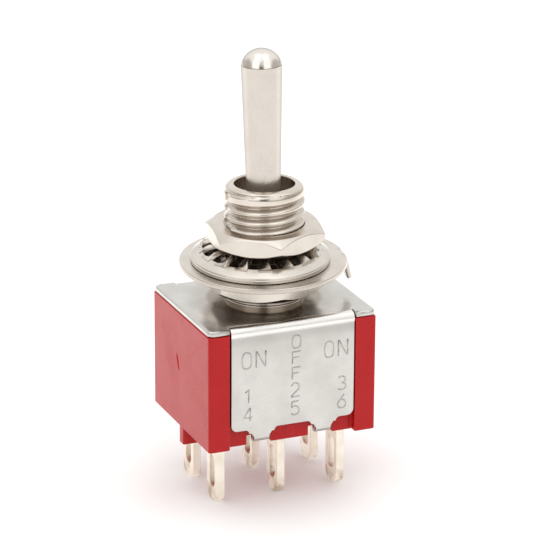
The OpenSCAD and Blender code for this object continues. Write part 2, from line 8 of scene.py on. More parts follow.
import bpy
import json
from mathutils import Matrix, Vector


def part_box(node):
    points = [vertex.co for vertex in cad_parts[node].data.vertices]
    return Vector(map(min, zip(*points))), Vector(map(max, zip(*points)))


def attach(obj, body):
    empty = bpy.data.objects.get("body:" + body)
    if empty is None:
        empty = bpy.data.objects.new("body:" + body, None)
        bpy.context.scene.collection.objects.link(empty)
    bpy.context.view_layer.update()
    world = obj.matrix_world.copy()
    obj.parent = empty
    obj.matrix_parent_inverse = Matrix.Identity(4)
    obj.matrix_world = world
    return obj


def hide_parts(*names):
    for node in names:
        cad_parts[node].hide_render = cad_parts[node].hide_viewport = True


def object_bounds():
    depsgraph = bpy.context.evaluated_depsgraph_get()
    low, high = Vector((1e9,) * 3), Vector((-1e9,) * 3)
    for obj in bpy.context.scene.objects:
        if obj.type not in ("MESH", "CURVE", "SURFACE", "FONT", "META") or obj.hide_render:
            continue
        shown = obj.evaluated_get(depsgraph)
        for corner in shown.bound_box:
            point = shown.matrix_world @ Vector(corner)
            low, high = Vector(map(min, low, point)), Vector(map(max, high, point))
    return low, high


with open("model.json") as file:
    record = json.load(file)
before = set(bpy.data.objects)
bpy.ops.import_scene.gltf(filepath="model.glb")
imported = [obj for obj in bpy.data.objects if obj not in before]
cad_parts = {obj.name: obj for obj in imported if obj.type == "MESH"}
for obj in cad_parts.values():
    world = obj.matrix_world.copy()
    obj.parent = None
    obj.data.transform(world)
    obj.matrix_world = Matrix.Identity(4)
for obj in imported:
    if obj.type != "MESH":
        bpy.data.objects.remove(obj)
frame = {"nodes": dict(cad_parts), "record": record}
cad_low, cad_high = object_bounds()

# %% Tools and lookups
import json
import math

import bmesh
import bpy
from mathutils import Matrix, Vector

MM = 0.001
scene = bpy.context.scene
record = frame["record"]
body_of = {node: body for body, members in record["behaviour"]["bodies"].items()
           for node in members}
slot_of = {part["node"]: part["material_slot"] for part in record["subparts"]}
print("finish slots:", sorted(set(slot_of.values())))

# %% [markdown]
# ## Camera
# A long lens from a little above keeps the upright edges of so small an object
# nearly parallel. The camera is built from its azimuth, elevation and roll, so
# that each of the three can be changed by itself.

# %% Camera
AZIMUTH, ELEVATION, ROLL = (math.radians(a) for a in (-22.985, 19.542, 0.339))
LENS = 199.18
AIM_HEIGHT, ASIDE, DISTANCE = 1.696, 0.81, 224.214     # in millimetres
toward = Vector((math.sin(AZIMUTH) * math.cos(ELEVATION),
                 -math.cos(AZIMUTH) * math.cos(ELEVATION), math.sin(ELEVATION)))
right = Vector((math.cos(AZIMUTH), math.sin(AZIMUTH), 0))
up = toward.cross(right)

camera = bpy.data.objects.new("camera", bpy.data.cameras.new("camera"))
scene.collection.objects.link(camera)
scene.camera = camera
camera.data.lens = LENS
camera.data.clip_start, camera.data.clip_end = 0.01, 10
turn = Matrix((right, up, toward)).transposed() @ Matrix.Rotation(ROLL, 3, "Z")
place = (Vector((0, 0, AIM_HEIGHT)) + right * ASIDE + toward * DISTANCE) * MM
camera.matrix_world = Matrix.Translation(place) @ turn.to_4x4()
scene.view_settings.view_transform = "Standard"
print("camera at", [round(c / MM, 1) for c in place], "mm")

# %% [markdown]
# ## Node helpers
# A material is a small graph of nodes. These helpers place a node, set its
# inputs by name and join it to the ones before, so that each finish below reads
# as a list of what it is made of.

# %% Node helpers
def feed(tree, socket, value):
    """Gives a socket a value, or joins another node's output to it."""
    if isinstance(value, bpy.types.NodeSocket):
        tree.links.new(value, socket)
    else:
        socket.default_value = value


def place_node(tree, kind, settings=None, **inputs):
    """Adds a node. Underscores in an input's name stand for spaces."""
    made = tree.nodes.new("ShaderNode" + kind)
    for name, value in (settings or {}).items():
        setattr(made, name, value)
    for name, value in inputs.items():
        feed(tree, made.inputs[name.replace("_", " ")], value)
    return made


def calc(tree, operation, *values):
    """One step of arithmetic on numbers."""
    made = place_node(tree, "Math", {"operation": operation})
    for socket, value in zip(made.inputs, values):
        feed(tree, socket, value)
    return made.outputs[0]


def times(tree, first, *others):
    """Multiplies two or more values."""
    for other in others:
        first = calc(tree, "MULTIPLY", first, other)
    return first


def most(tree, first, *others):
    """The largest of two or more values."""
    for other in others:
        first = calc(tree, "MAXIMUM", first, other)
    return first


def vector_calc(tree, operation, *values):
    """One step of arithmetic on vectors."""
    made = place_node(tree, "VectorMath", {"operation": operation})
    for socket, value in zip(made.inputs, values):
        feed(tree, socket, value)
    return made.outputs["Value" if operation in ("DOT_PRODUCT", "LENGTH") else "Vector"]


def ease(tree, value, low, high, start=0.0, end=1.0):
    """Fades from start to end while the value goes from low to high."""
    made = place_node(tree, "MapRange", {"interpolation_type": "SMOOTHSTEP"},
                      Value=value, From_Min=low, From_Max=high, To_Min=start, To_Max=end)
    return made.outputs["Result"]


def blend_colours(tree, share, first, second):
    """Mixes two colours by a share from 0 to 1."""
    made = place_node(tree, "Mix", {"data_type": "RGBA"})
    for index, value in ((0, share), (6, first), (7, second)):
        feed(tree, made.inputs[index], value)
    return made.outputs[2]


def millimetres(tree):
    """The place on the object, in millimetres."""
    at = place_node(tree, "TexCoord").outputs["Object"]
    return place_node(tree, "Mapping", Vector=at, Scale=(1000, 1000, 1000)).outputs[0]


def split(tree, place):
    """The X, Y and Z of a place, each as a socket."""
    return place_node(tree, "SeparateXYZ", Vector=place).outputs


def from_z_axis(tree, xyz):
    """The distance from the upright axis, from the parts of a place."""
    level_part = place_node(tree, "CombineXYZ", X=xyz["X"], Y=xyz["Y"])
    return vector_calc(tree, "LENGTH", level_part.outputs[0])


def fed_by(shader, name):
    """The socket that feeds one of a shader's inputs so far."""
    return shader.inputs[name].links[0].from_socket


def new_group(name, inputs, outputs):
    """An empty node group with named inputs and outputs."""
    group = bpy.data.node_groups.new(name, "ShaderNodeTree")
    for title, kind, value in inputs:
        socket = group.interface.new_socket(title, in_out="INPUT", socket_type=kind)
        socket.default_value = value
    for title, kind in outputs:
        group.interface.new_socket(title, in_out="OUTPUT", socket_type=kind)
    given = group.nodes.new("NodeGroupInput").outputs
    return group, given, group.nodes.new("NodeGroupOutput").inputs


def use_group(tree, group, **inputs):
    """Places a node group in a material, with its own values."""
    made = tree.nodes.new("ShaderNodeGroup")
    made.node_tree = group
    for name, value in inputs.items():
        feed(tree, made.inputs[name.replace("_", " ")], value)
    return made.outputs


def new_material(name):
    """A material with an empty Principled shader, and its tree."""
    made = bpy.data.materials.new(name)
    made.use_nodes = True
    return made, made.node_tree, made.node_tree.nodes["Principled BSDF"]


print("node helpers ready")

# %% [markdown]
# ## Studio
# Bright metal shows its surroundings more than itself. Over the object runs a
# tent of two long soft panels, from low in front, over the top, to the back,
# with a slot between them in which the camera stands. So a dark upright band
# lies in the middle of every dome and rim, with white on both sides of it. A
# pale wall behind fills the sides, and a light high up brightens what faces the
# sky. All of these are drawn in the world, by direction, and two soft boxes in
# front give the shadows their direction. The camera itself sees plain white.

# %% Directions in the studio
world = bpy.data.worlds.new("studio")
scene.world = world
world.use_nodes = True
sky = world.node_tree
direction = place_node(sky, "TexCoord").outputs["Generated"]
side = calc(sky, "ABSOLUTE", vector_calc(sky, "DOT_PRODUCT", direction, tuple(right)))
flat_toward = Vector((toward.x, toward.y, 0)).normalized()
front = vector_calc(sky, "DOT_PRODUCT", direction, flat_toward)
height = vector_calc(sky, "DOT_PRODUCT", direction, (0, 0, 1))
print("world faces the camera along", [round(c, 2) for c in toward])

# %% Panels, slot, back wall and top light
TENT_LEVEL, PANEL_LEVEL = 0.42, 0.62
overhead = ease(sky, front, 0.3, 0.05)
panel = most(sky, ease(sky, side, 0.14, 0.24), overhead)
panel = times(sky, panel, ease(sky, side, 0.66, 0.9, 1, 0.2), ease(sky, height, 0.05, 0.3))
slot_part = times(sky, ease(sky, side, 0.13, 0.24, 1, 0), ease(sky, front, 0.0, 0.5))
slot_level = times(sky, ease(sky, height, -0.1, 0.08, 0.6, 0.16),
                   ease(sky, height, 0.3, 0.65, 1, 4.5))
back_wall = times(sky, ease(sky, front, 0.1, -0.3), ease(sky, height, 0.75, 0.4),
                  ease(sky, side, 0.35, 0.85, 0.95, 0.62))
top_light = times(sky, ease(sky, height, 0.6, 0.85), ease(sky, front, -0.6, -0.35),
                  ease(sky, side, 0.06, 0.2, 0.65, 1.2), ease(sky, side, 0.45, 0.75, 1, 0.6))
level = calc(sky, "ADD", TENT_LEVEL, times(sky, panel, PANEL_LEVEL))
level = most(sky, level, back_wall, top_light)
level = calc(sky, "ADD", times(sky, level, calc(sky, "SUBTRACT", 1.0, slot_part)),
             times(sky, slot_level, slot_part))
warmth = ease(sky, level, 0.1, 0.9)
tint = blend_colours(sky, warmth, (1, 0.87, 0.76, 1), (1, 0.995, 0.985, 1))
print("world nodes so far:", len(sky.nodes))

# %% What the camera sees behind the object
shown = place_node(sky, "LightPath").outputs["Is Camera Ray"]
studio = place_node(sky, "Background", Color=tint, Strength=level)
white = place_node(sky, "Background", Color=(1, 1, 1, 1), Strength=1.0)
both = place_node(sky, "MixShader")
for socket, value in zip(both.inputs, (shown, studio.outputs[0], white.outputs[0])):
    feed(sky, socket, value)
feed(sky, sky.nodes["World Output"].inputs["Surface"], both.outputs[0])
print("world nodes:", len(sky.nodes))


# %% Soft boxes
def soft_box(name, bearing, elevation, distance, width, depth, brightness):
    """A rectangular lamp that faces the object. Bearings count from the camera."""
    lamp = bpy.data.objects.new(name, bpy.data.lights.new(name, "AREA"))
    scene.collection.objects.link(lamp)
    angle, rise = AZIMUTH + math.radians(bearing), math.radians(elevation)
    back = Vector((math.sin(angle) * math.cos(rise), -math.cos(angle) * math.cos(rise),
                   math.sin(rise)))
    facing = back.to_track_quat("Z", "Y").to_matrix().to_4x4()
    lamp.matrix_world = Matrix.Translation(back * distance) @ facing
    lamp.data.shape = "RECTANGLE"
    lamp.data.size, lamp.data.size_y = width, depth
    lamp.data.energy = brightness * math.pi * width * depth
    print(name, "power", round(lamp.data.energy, 3), "W")


for name, bearing, brightness in (("left_box", -38, 0.30), ("right_box", 38, 0.20)):
    soft_box(name, bearing, elevation=58, distance=0.55, width=0.42, depth=0.90,
             brightness=brightness)

# %% [markdown]
# ## Floor
# The floor is one large pale plane under the tips of the lugs. A little light
# of its own, which only the camera and mirrors see, brings it up to white,
# while the shadow of the switch stays on it. It glows more towards the back,
# as a sweep of paper does where it rises to its own lamps.

# %% Floor
FLOOR_HALF = 3                 # in metres
SHADED_PAPER, OPEN_PAPER = (0.70, 0.68, 0.685, 1), (0.82, 0.815, 0.81, 1)
bm = bmesh.new()
bmesh.ops.create_grid(bm, x_segments=1, y_segments=1, size=FLOOR_HALF)
bmesh.ops.translate(bm, vec=(0, 0, cad_low.z), verts=bm.verts)
floor_mesh = bpy.data.meshes.new("floor")
bm.to_mesh(floor_mesh)
bm.free()
floor = bpy.data.objects.new("floor", floor_mesh)
scene.collection.objects.link(floor)
floor_paper, tree, shader = new_material("floor_paper")
path = place_node(tree, "LightPath").outputs
at = place_node(tree, "TexCoord").outputs["Object"]
behind = vector_calc(tree, "DOT_PRODUCT", at, (-toward.x, -toward.y, 0))
away = vector_calc(tree, "LENGTH", at)
# Near the switch the paper is darker and the glow the camera sees fades out, which deepens the
# shadow there as painted shadow.
paper = blend_colours(tree, ease(tree, away, 0.008, 0.015), SHADED_PAPER, OPEN_PAPER)
feed(tree, shader.inputs["Base Color"], paper)
shader.inputs["Roughness"].default_value = 1
shader.inputs["Specular IOR Level"].default_value = 0
shader.inputs["Emission Color"].default_value = (1, 1, 1, 1)
shown_glow = ease(tree, away, 0.008, 0.022, 0.0, 0.36)
mirrored_glow = ease(tree, behind, -0.005, 0.03, 0.39, 0.62)
mirrored = most(tree, path["Is Glossy Ray"], path["Is Transmission Ray"])
glow = calc(tree, "ADD", times(tree, path["Is Camera Ray"], shown_glow),
            times(tree, mirrored, mirrored_glow))
feed(tree, shader.inputs["Emission Strength"], glow)
floor.data.materials.append(floor_paper)
print("floor at", round(cad_low.z / MM, 2), "mm")

# %% [markdown]
# ## Shared surface effects
# No real surface is even. A thin film clouds plating and plastic in patches, a
# fine grain is left by rolling and tumbling, hairlines come from handling, and
# edges are rubbed brighter. Each effect is one node group with named inputs, so
# that all the finishes can use it with their own values.

# %% Cloudy film
cloudy_film, given, out = new_group(
    "cloudy_film",
    [("Place", "NodeSocketVector", (0, 0, 0)), ("Patch Size", "NodeSocketFloat", 3.0)],
    [("Film", "NodeSocketFloat")])
patches = place_node(cloudy_film, "TexNoise", Vector=given["Place"], Detail=4.0, Roughness=0.55,
                     Scale=calc(cloudy_film, "DIVIDE", 1.0, given["Patch Size"]))
feed(cloudy_film, out["Film"], ease(cloudy_film, patches.outputs[0], 0.34, 0.68))
print("group:", cloudy_film.name)

# %% Fine grain
fine_grain, given, out = new_group(
    "fine_grain",
    [("Place", "NodeSocketVector", (0, 0, 0)), ("Grain Size", "NodeSocketFloat", 0.1),
     ("Stretch", "NodeSocketVector", (1, 1, 1))],
    [("Grain", "NodeSocketFloat")])
stretched = vector_calc(fine_grain, "DIVIDE", given["Place"], given["Stretch"])
specks = place_node(fine_grain, "TexNoise", Vector=stretched, Detail=3.0, Roughness=0.6,
                    Scale=calc(fine_grain, "DIVIDE", 1.0, given["Grain Size"]))
feed(fine_grain, out["Grain"], specks.outputs[0])
print("group:", fine_grain.name)

# %% Hairlines
hairlines, given, out = new_group(
    "hairlines",
    [("Place", "NodeSocketVector", (0, 0, 0)), ("Turn", "NodeSocketVector", (0, 0.5, 0)),
     ("Length", "NodeSocketFloat", 3.0), ("Width", "NodeSocketFloat", 0.05)],
    [("Lines", "NodeSocketFloat")])
turned_place = place_node(hairlines, "VectorRotate", {"rotation_type": "EULER_XYZ"},
                          Vector=given["Place"], Rotation=given["Turn"]).outputs[0]
shape = place_node(hairlines, "CombineXYZ", X=given["Width"], Y=given["Width"], Z=given["Length"])
drawn_out = vector_calc(hairlines, "DIVIDE", turned_place, shape.outputs[0])
streaks = place_node(hairlines, "TexNoise", Vector=drawn_out, Detail=0.0, Scale=1.0)
feed(hairlines, out["Lines"], ease(hairlines, streaks.outputs[0], 0.76, 0.82))
print("group:", hairlines.name)

# %% Rubbed edges
rubbed_edges, given, out = new_group(
    "rubbed_edges",
    [("Radius", "NodeSocketFloat", 0.0001), ("Break Up", "NodeSocketFloat", 0.5)],
    [("Edge", "NodeSocketFloat")])
rounded_normal = place_node(rubbed_edges, "Bevel", {"samples": 4},
                            Radius=given["Radius"]).outputs[0]
flat_normal = place_node(rubbed_edges, "NewGeometry").outputs["Normal"]
agree = vector_calc(rubbed_edges, "DOT_PRODUCT", rounded_normal, flat_normal)
edge = ease(rubbed_edges, agree, 0.995, 0.9)
feed(rubbed_edges, out["Edge"], times(rubbed_edges, edge, given["Break Up"]))
print("group:", rubbed_edges.name)

# %% [markdown]
# ## Metal finishes
# Nickel plate is a warm grey mirror, blurred a little by the metal under it.
# All plated pieces share one recipe with different values: a base colour, a
# browner film in patches, a fine grain that also moves the roughness, and
# edges rubbed bright.

# %% The plating recipe
def plated_metal(name, colour, film_colour, film=0.3, patch=2.5, roughness=0.2, spread=0.1,
                 grain=0.08, stretch=(1, 1, 1), speck=0.10, relief=1.0, edge=0.35, scratches=0.0):
    """A metal finish. Returns the material, its tree, shader and place."""
    made, tree, shader = new_material(name)
    at = millimetres(tree)
    clouds = use_group(tree, cloudy_film, Place=at, Patch_Size=patch)["Film"]
    specks = use_group(tree, fine_grain, Place=at, Grain_Size=grain, Stretch=stretch)["Grain"]
    rub = use_group(tree, rubbed_edges, Radius=0.00009, Break_Up=edge)["Edge"]
    one_way = use_group(tree, hairlines, Place=at, Turn=(0.2, -0.65, 0), Length=2.5,
                        Width=0.05)["Lines"]
    other_way = use_group(tree, hairlines, Place=at, Turn=(0, 0.95, 0.4), Length=1.4,
                          Width=0.045)["Lines"]
    marks = times(tree, most(tree, one_way, other_way), scratches)
    base = blend_colours(tree, times(tree, clouds, film), colour, film_colour)
    base = blend_colours(tree, times(tree, specks, speck), base, film_colour)
    base = blend_colours(tree, rub, base, tuple(min(1, c * 1.12) for c in colour[:3]) + (1,))
    base = blend_colours(tree, marks, base, tuple(c * 0.62 for c in colour[:3]) + (1,))
    shader.inputs["Metallic"].default_value = 1
    feed(tree, shader.inputs["Base Color"], base)
    rough = calc(tree, "ADD", roughness, times(tree, clouds, spread))
    rough = calc(tree, "ADD", rough, times(tree, specks, spread * 0.6))
    feed(tree, shader.inputs["Roughness"], rough)
    surface = calc(tree, "SUBTRACT", specks, times(tree, marks, 1.5))
    bump = place_node(tree, "Bump", Strength=relief, Distance=0.000002, Height=surface)
    feed(tree, shader.inputs["Normal"], bump.outputs[0])
    return made, tree, shader, at


print("plating recipe ready")

# %% Bushing nickel
# The neck under the lower nut, the inside of the mouth and the stretch under the washers are
# painted darker and browner as shade, and the thread's grooves take the same brown as dust. All of
# them are also duller.
NECK_TOP, RIM_TOP, MOUTH_R = 0.83, 8.85, 2.22
DUST_AND_SHADE = (0.22, 0.165, 0.12, 1)
bushing_nickel, tree, shader, at = plated_metal(
    "bushing_nickel", (0.72, 0.665, 0.605, 1), (0.52, 0.44, 0.35, 1), roughness=0.13,
    spread=0.07, relief=0.6)
xyz = split(tree, at)
from_axis = from_z_axis(tree, xyz)
neck = calc(tree, "LESS_THAN", xyz["Z"], NECK_TOP)
mouth = times(tree, ease(tree, from_axis, 2.34, MOUTH_R), ease(tree, xyz["Z"], RIM_TOP, 8.6))
grooves = times(tree, ease(tree, from_axis, 2.93, 2.78), ease(tree, from_axis, 2.4, 2.5),
                ease(tree, xyz["Z"], 8.6, 8.3))
covered = times(tree, ease(tree, xyz["Z"], 4.5, 4.2), ease(tree, xyz["Z"], 2.2, 2.5))
# Painted shade on the neck, the mouth and under the washers, and dust in the grooves.
dust_and_shade = most(tree, times(tree, neck, 0.3), times(tree, mouth, 0.45), times(tree, grooves, 0.35),
            times(tree, covered, 1.2))
feed(tree, shader.inputs["Base Color"],
     blend_colours(tree, times(tree, dust_and_shade, 0.75), fed_by(shader, "Base Color"), DUST_AND_SHADE))
feed(tree, shader.inputs["Roughness"],
     calc(tree, "ADD", fed_by(shader, "Roughness"), times(tree, dust_and_shade, 0.15)))
print("bushing nodes:", len(tree.nodes))

# %% Nut nickel
# The underside of a nut faces the washers and the cover, so it is painted dark as shade.
nut_nickel, tree, shader, at = plated_metal(
    "nut_nickel", (0.69, 0.64, 0.585, 1), (0.54, 0.47, 0.39, 1), roughness=0.17, spread=0.09,
    grain=0.11)
surface_normal = place_node(tree, "NewGeometry").outputs["Normal"]
facing_down = ease(tree, split(tree, surface_normal)["Z"], -0.6, -0.85)
shaded = blend_colours(tree, times(tree, facing_down, 0.7), fed_by(shader, "Base Color"),
                       (0.14, 0.11, 0.08, 1))
feed(tree, shader.inputs["Base Color"], shaded)
print("nut nodes:", len(tree.nodes))

# %% Washer nickel
# The stack leans, so a level on it is measured along its lean. Under the nut and between the teeth
# the colour is painted near black as shade. Below the top face, the side towards the camera is
# darker and browner.
LEAN_SLOPE, FACE_Z = 0.0445, 2.99
washer_nickel, tree, shader, at = plated_metal(
    "washer_nickel", (0.70, 0.66, 0.61, 1), (0.54, 0.475, 0.40, 1), film=0.3, roughness=0.16,
    spread=0.10, grain=0.12)
xyz = split(tree, at)
from_axis = from_z_axis(tree, xyz)
behind = vector_calc(tree, "DOT_PRODUCT", at, (-toward.x, -toward.y, 0))
level_z = calc(tree, "SUBTRACT", xyz["Z"], times(tree, behind, LEAN_SLOPE))
# Below the top face, the side towards the camera is darker and browner.
darker_front = times(tree, ease(tree, level_z, FACE_Z, 2.9, 0, 0.3), ease(tree, behind, 0, -3))
front_darkened = blend_colours(tree, darker_front, fed_by(shader, "Base Color"), (0.30, 0.22, 0.15, 1))
# Painted shade: near black under the nut and between the teeth.
painted_shade_under_nut = times(tree, ease(tree, from_axis, 4.75, 4.6), ease(tree, level_z, FACE_Z, 2.95))
feed(tree, shader.inputs["Base Color"],
     blend_colours(tree, times(tree, painted_shade_under_nut, 0.93), front_darkened, (0.05, 0.045, 0.05, 1)))
print("nickel finishes ready")

# %% Cover steel
ENGRAVED_Y = -5.6              # the front face, into which the letters are struck
cover_steel, tree, shader, at = plated_metal(
    "cover_steel", (0.665, 0.65, 0.625, 1), (0.52, 0.505, 0.48, 1), film=0.35, patch=2.2,
    roughness=0.23, spread=0.12, grain=0.09, stretch=(1.8, 1, 1), speck=0.3, relief=1.6,
    edge=0.3, scratches=0.35)
xyz = split(tree, at)
# The grooves of the letters are painted darker, as shade in the narrow recesses.
painted_letter_shade = times(tree, ease(tree, xyz["Y"], ENGRAVED_Y + 0.012, ENGRAVED_Y + 0.04),
             calc(tree, "LESS_THAN", xyz["Y"], ENGRAVED_Y + 0.2),
             calc(tree, "LESS_THAN", xyz["Z"], -0.85))
base = blend_colours(tree, times(tree, painted_letter_shade, 0.6), fed_by(shader, "Base Color"),
                     (0.25, 0.23, 0.21, 1))
print("dark letters from", ENGRAVED_Y + 0.012, "mm inwards")

# %% Shades of the cover's bends and top
# The fold is painted brighter along its curve as a highlight and darker a little below it as shade,
# and a darker brown ring round the bushing is painted as the reflection and shade of the nut and
# neck.
FLAP_HALF = 4.9
out_y = calc(tree, "ABSOLUTE", xyz["Y"])
on_flap = calc(tree, "LESS_THAN", calc(tree, "ABSOLUTE", xyz["X"]), FLAP_HALF)
# Painted highlight along the fold, and painted shade below it.
painted_bend_highlight = times(tree, ease(tree, xyz["Z"], -0.78, -0.66), ease(tree, out_y, 4.9, 5.1), on_flap)
painted_shade_below_bend = times(tree, ease(tree, xyz["Z"], -1.7, -1.0, 0.22, 0.6),
                   ease(tree, xyz["Z"], -0.66, -0.82), ease(tree, xyz["Z"], -3.4, -1.7))
from_axis = from_z_axis(tree, xyz)
# Painted reflection and shade of the nut and neck, as a darker ring.
ring = calc(tree, "ADD", ease(tree, from_axis, 4.5, 4.0, 0, 0.5),
            ease(tree, from_axis, 6.4, 4.4, 0, 0.34))
ring = times(tree, ring, ease(tree, xyz["Z"], -0.3, -0.1))
for share, shade in ((painted_shade_below_bend, (0.40, 0.385, 0.365, 1)), (painted_bend_highlight, (0.86, 0.845, 0.82, 1)),
                     (ring, (0.27, 0.22, 0.16, 1))):
    base = blend_colours(tree, share, base, shade)
feed(tree, shader.inputs["Base Color"], base)
smoother = ease(tree, xyz["Z"], -0.12, -0.04, 1, 0.62)
feed(tree, shader.inputs["Roughness"], times(tree, fed_by(shader, "Roughness"), smoother))
buckles = use_group(tree, fine_grain, Place=at, Grain_Size=1.1, Stretch=(1.4, 1, 1))["Grain"]
wavy = place_node(tree, "Bump", Strength=1.0, Distance=0.000018, Height=buckles,
                  Normal=fed_by(shader, "Normal"))
feed(tree, shader.inputs["Normal"], wavy.outputs[0])
print("cover nodes:", len(tree.nodes))

# %% Lever nickel
# The dome is polished after plating, and just above the bushing's mouth the bat is darker, browner
# and less metallic.
lever_nickel, tree, shader, at = plated_metal(
    "lever_nickel", (0.65, 0.605, 0.555, 1), (0.54, 0.495, 0.445, 1), film=0.18, patch=1.6,
    roughness=0.22, spread=0.06, grain=0.13, speck=0.3, relief=1.5, edge=0.1, scratches=0.4)
level_z = split(tree, at)["Z"]
polished = ease(tree, level_z, 17.82, 17.90)
darker_at_mouth = ease(tree, level_z, 9.35, 8.8)
feed(tree, shader.inputs["Metallic"], ease(tree, darker_at_mouth, 0, 1, 1, 0.45))
darkened_base = blend_colours(tree, times(tree, darker_at_mouth, 0.75), fed_by(shader, "Base Color"),
                        (0.30, 0.225, 0.165, 1))
feed(tree, shader.inputs["Base Color"],
     blend_colours(tree, polished, darkened_base, (0.83, 0.785, 0.73, 1)))
shader.inputs["Specular Tint"].default_value = (0.6, 0.6, 0.6, 1)
unpolished = calc(tree, "SUBTRACT", 1.0, times(tree, polished, 0.8))
feed(tree, shader.inputs["Roughness"], times(tree, fed_by(shader, "Roughness"), unpolished))
print("lever nodes:", len(tree.nodes))

# %% Silver finishes
# Silver tarnishes first at the cut tips of the lugs.
terminal_silver, tree, shader, at = plated_metal(
    "terminal_silver", (0.93, 0.88, 0.785, 1), (0.78, 0.69, 0.56, 1), film=0.35, patch=1.2,
    roughness=0.34, spread=0.12, grain=0.12, relief=1.4, edge=0.2)
stain = times(tree, use_group(tree, cloudy_film, Place=at, Patch_Size=1.3)["Film"],
              ease(tree, split(tree, at)["Z"], -12.4, -14.3))
darkened_base = blend_colours(tree, ease(tree, stain, 0.1, 0.9, 0, 0.6), fed_by(shader, "Base Color"),
                        (0.33, 0.21, 0.11, 1))
feed(tree, shader.inputs["Base Color"], darkened_base)
contact_silver = plated_metal("contact_silver", (0.86, 0.82, 0.74, 1), (0.68, 0.58, 0.45, 1),
                              film=0.5, roughness=0.24, grain=0.12, relief=1.2)[0]
spring_wire = plated_metal("spring_wire", (0.62, 0.62, 0.63, 1), (0.48, 0.47, 0.46, 1),
                           roughness=0.25, grain=0.05, stretch=(1, 1, 0.3))[0]
print("silver and wire ready")

# %% [markdown]
# ## Plastics
# The case is a glossy red moulding. Its gloss comes from the shader, and a
# slow ripple and tiny pores keep the reflections from looking like glass. The
# hidden slides are plain nylon, duller and a little cloudy.

# %% The plastic recipe
def moulded_plastic(name, colour, deep_colour, roughness, spread, ripple, pores, cloud=0.35):
    """A plastic finish with cloudy colour, a slow ripple and small pores."""
    made, tree, shader = new_material(name)
    at = millimetres(tree)
    clouds = use_group(tree, cloudy_film, Place=at, Patch_Size=2.8)["Film"]
    slow = use_group(tree, fine_grain, Place=at, Grain_Size=1.3, Stretch=(1, 1, 1.6))["Grain"]
    fine = use_group(tree, fine_grain, Place=at, Grain_Size=0.09, Stretch=(1, 1, 1))["Grain"]
    rub = use_group(tree, rubbed_edges, Radius=0.00012, Break_Up=0.35)["Edge"]
    base = blend_colours(tree, times(tree, clouds, cloud), colour, deep_colour)
    lit = tuple(c + (1 - c) * 0.10 for c in colour[:3]) + (1,)
    base = blend_colours(tree, rub, base, lit)
    feed(tree, shader.inputs["Base Color"], base)
    feed(tree, shader.inputs["Roughness"],
         calc(tree, "ADD", roughness, times(tree, clouds, spread)))
    waves = place_node(tree, "Bump", Strength=1.0, Distance=ripple, Height=slow)
    pits = place_node(tree, "Bump", Strength=1.0, Distance=pores, Height=fine,
                      Normal=waves.outputs[0])
    feed(tree, shader.inputs["Normal"], pits.outputs[0])
    return made


red_plastic = moulded_plastic("red_plastic", (0.57, 0.005, 0.007, 1), (0.48, 0.003, 0.005, 1),
                              roughness=0.20, spread=0.10, ripple=0.00001, pores=0.0000007)
red_plastic.node_tree.nodes["Principled BSDF"].inputs["IOR"].default_value = 1.38
white_nylon = moulded_plastic("white_nylon", (0.82, 0.80, 0.74, 1), (0.74, 0.71, 0.63, 1),
                              roughness=0.45, spread=0.12, ripple=0.00001, pores=0.000002)
black_nylon = moulded_plastic("black_nylon", (0.03, 0.028, 0.027, 1), (0.018, 0.017, 0.017, 1),
                              roughness=0.42, spread=0.10, ripple=0.00001, pores=0.000002)
finishes = {
    "red_moulding": red_plastic, "white_nylon": white_nylon, "black_nylon": black_nylon,
    "cover_steel": cover_steel, "spring_wire": spring_wire, "bushing_nickel": bushing_nickel,
    "lever_nickel": lever_nickel, "nut_nickel": nut_nickel, "washer_nickel": washer_nickel,
    "terminal_silver": terminal_silver, "contact_silver": contact_silver}
print("finishes:", len(finishes))

# %% [markdown]
# ## Mesh tools
# Pieces are drawn in millimetres with bmesh and scaled to metres at the end.
# Four tools do most of the work: an outline that is spun like stock in a lathe,
# a cut, join or crossing of two solids, a rounding of sharp edges, and a
# finishing step that gives the piece its body, its CAD node and its material.
# A cut can come out a little differently each time, so its result is cleaned of
# slivers and put in a fixed order before anything else is done to it.

# %% Turning and cutting
def turned(outline, roundings=(), steps=128, segments=4):
    """Spins an outline of (radius, height) corners round Z into a closed solid."""
    bm = bmesh.new()
    corners = [bm.verts.new((radius, 0, z)) for radius, z in outline]
    bm.faces.new(corners)
    for index, offset in roundings:
        bmesh.ops.bevel(bm, geom=[corners[index]], offset=offset, offset_type="OFFSET",
                        segments=segments, profile=0.5, affect="VERTICES", material=-1)
    bmesh.ops.delete(bm, geom=bm.faces[:], context="FACES_ONLY")
    on_axis = [e for e in bm.edges if all(abs(v.co.x) < 1e-6 for v in e.verts)]
    bmesh.ops.delete(bm, geom=on_axis, context="EDGES")
    bmesh.ops.spin(bm, geom=bm.verts[:] + bm.edges[:], cent=(0, 0, 0), axis=(0, 0, 1),
                   angle=2 * math.pi, steps=steps, use_merge=True)
    bmesh.ops.remove_doubles(bm, verts=bm.verts, dist=1e-4)
    bmesh.ops.recalc_face_normals(bm, faces=bm.faces)
    return bm


def rounded_corners(bm, digits=3):
    """Rounds every corner's place to a number of digits after the point."""
    for v in bm.verts:
        v.co = [round(c, digits) for c in v.co]


def block(low, high):
    """A box between two corners."""
    bm = bmesh.new()
    bmesh.ops.create_cube(bm, size=1)
    bmesh.ops.scale(bm, vec=Vector(high) - Vector(low), verts=bm.verts)
    bmesh.ops.translate(bm, vec=(Vector(high) + Vector(low)) / 2, verts=bm.verts)
    return bm


SORT_ALONG = Vector((1.0, 7.31, 53.17))     # uneven, so that few corners tie


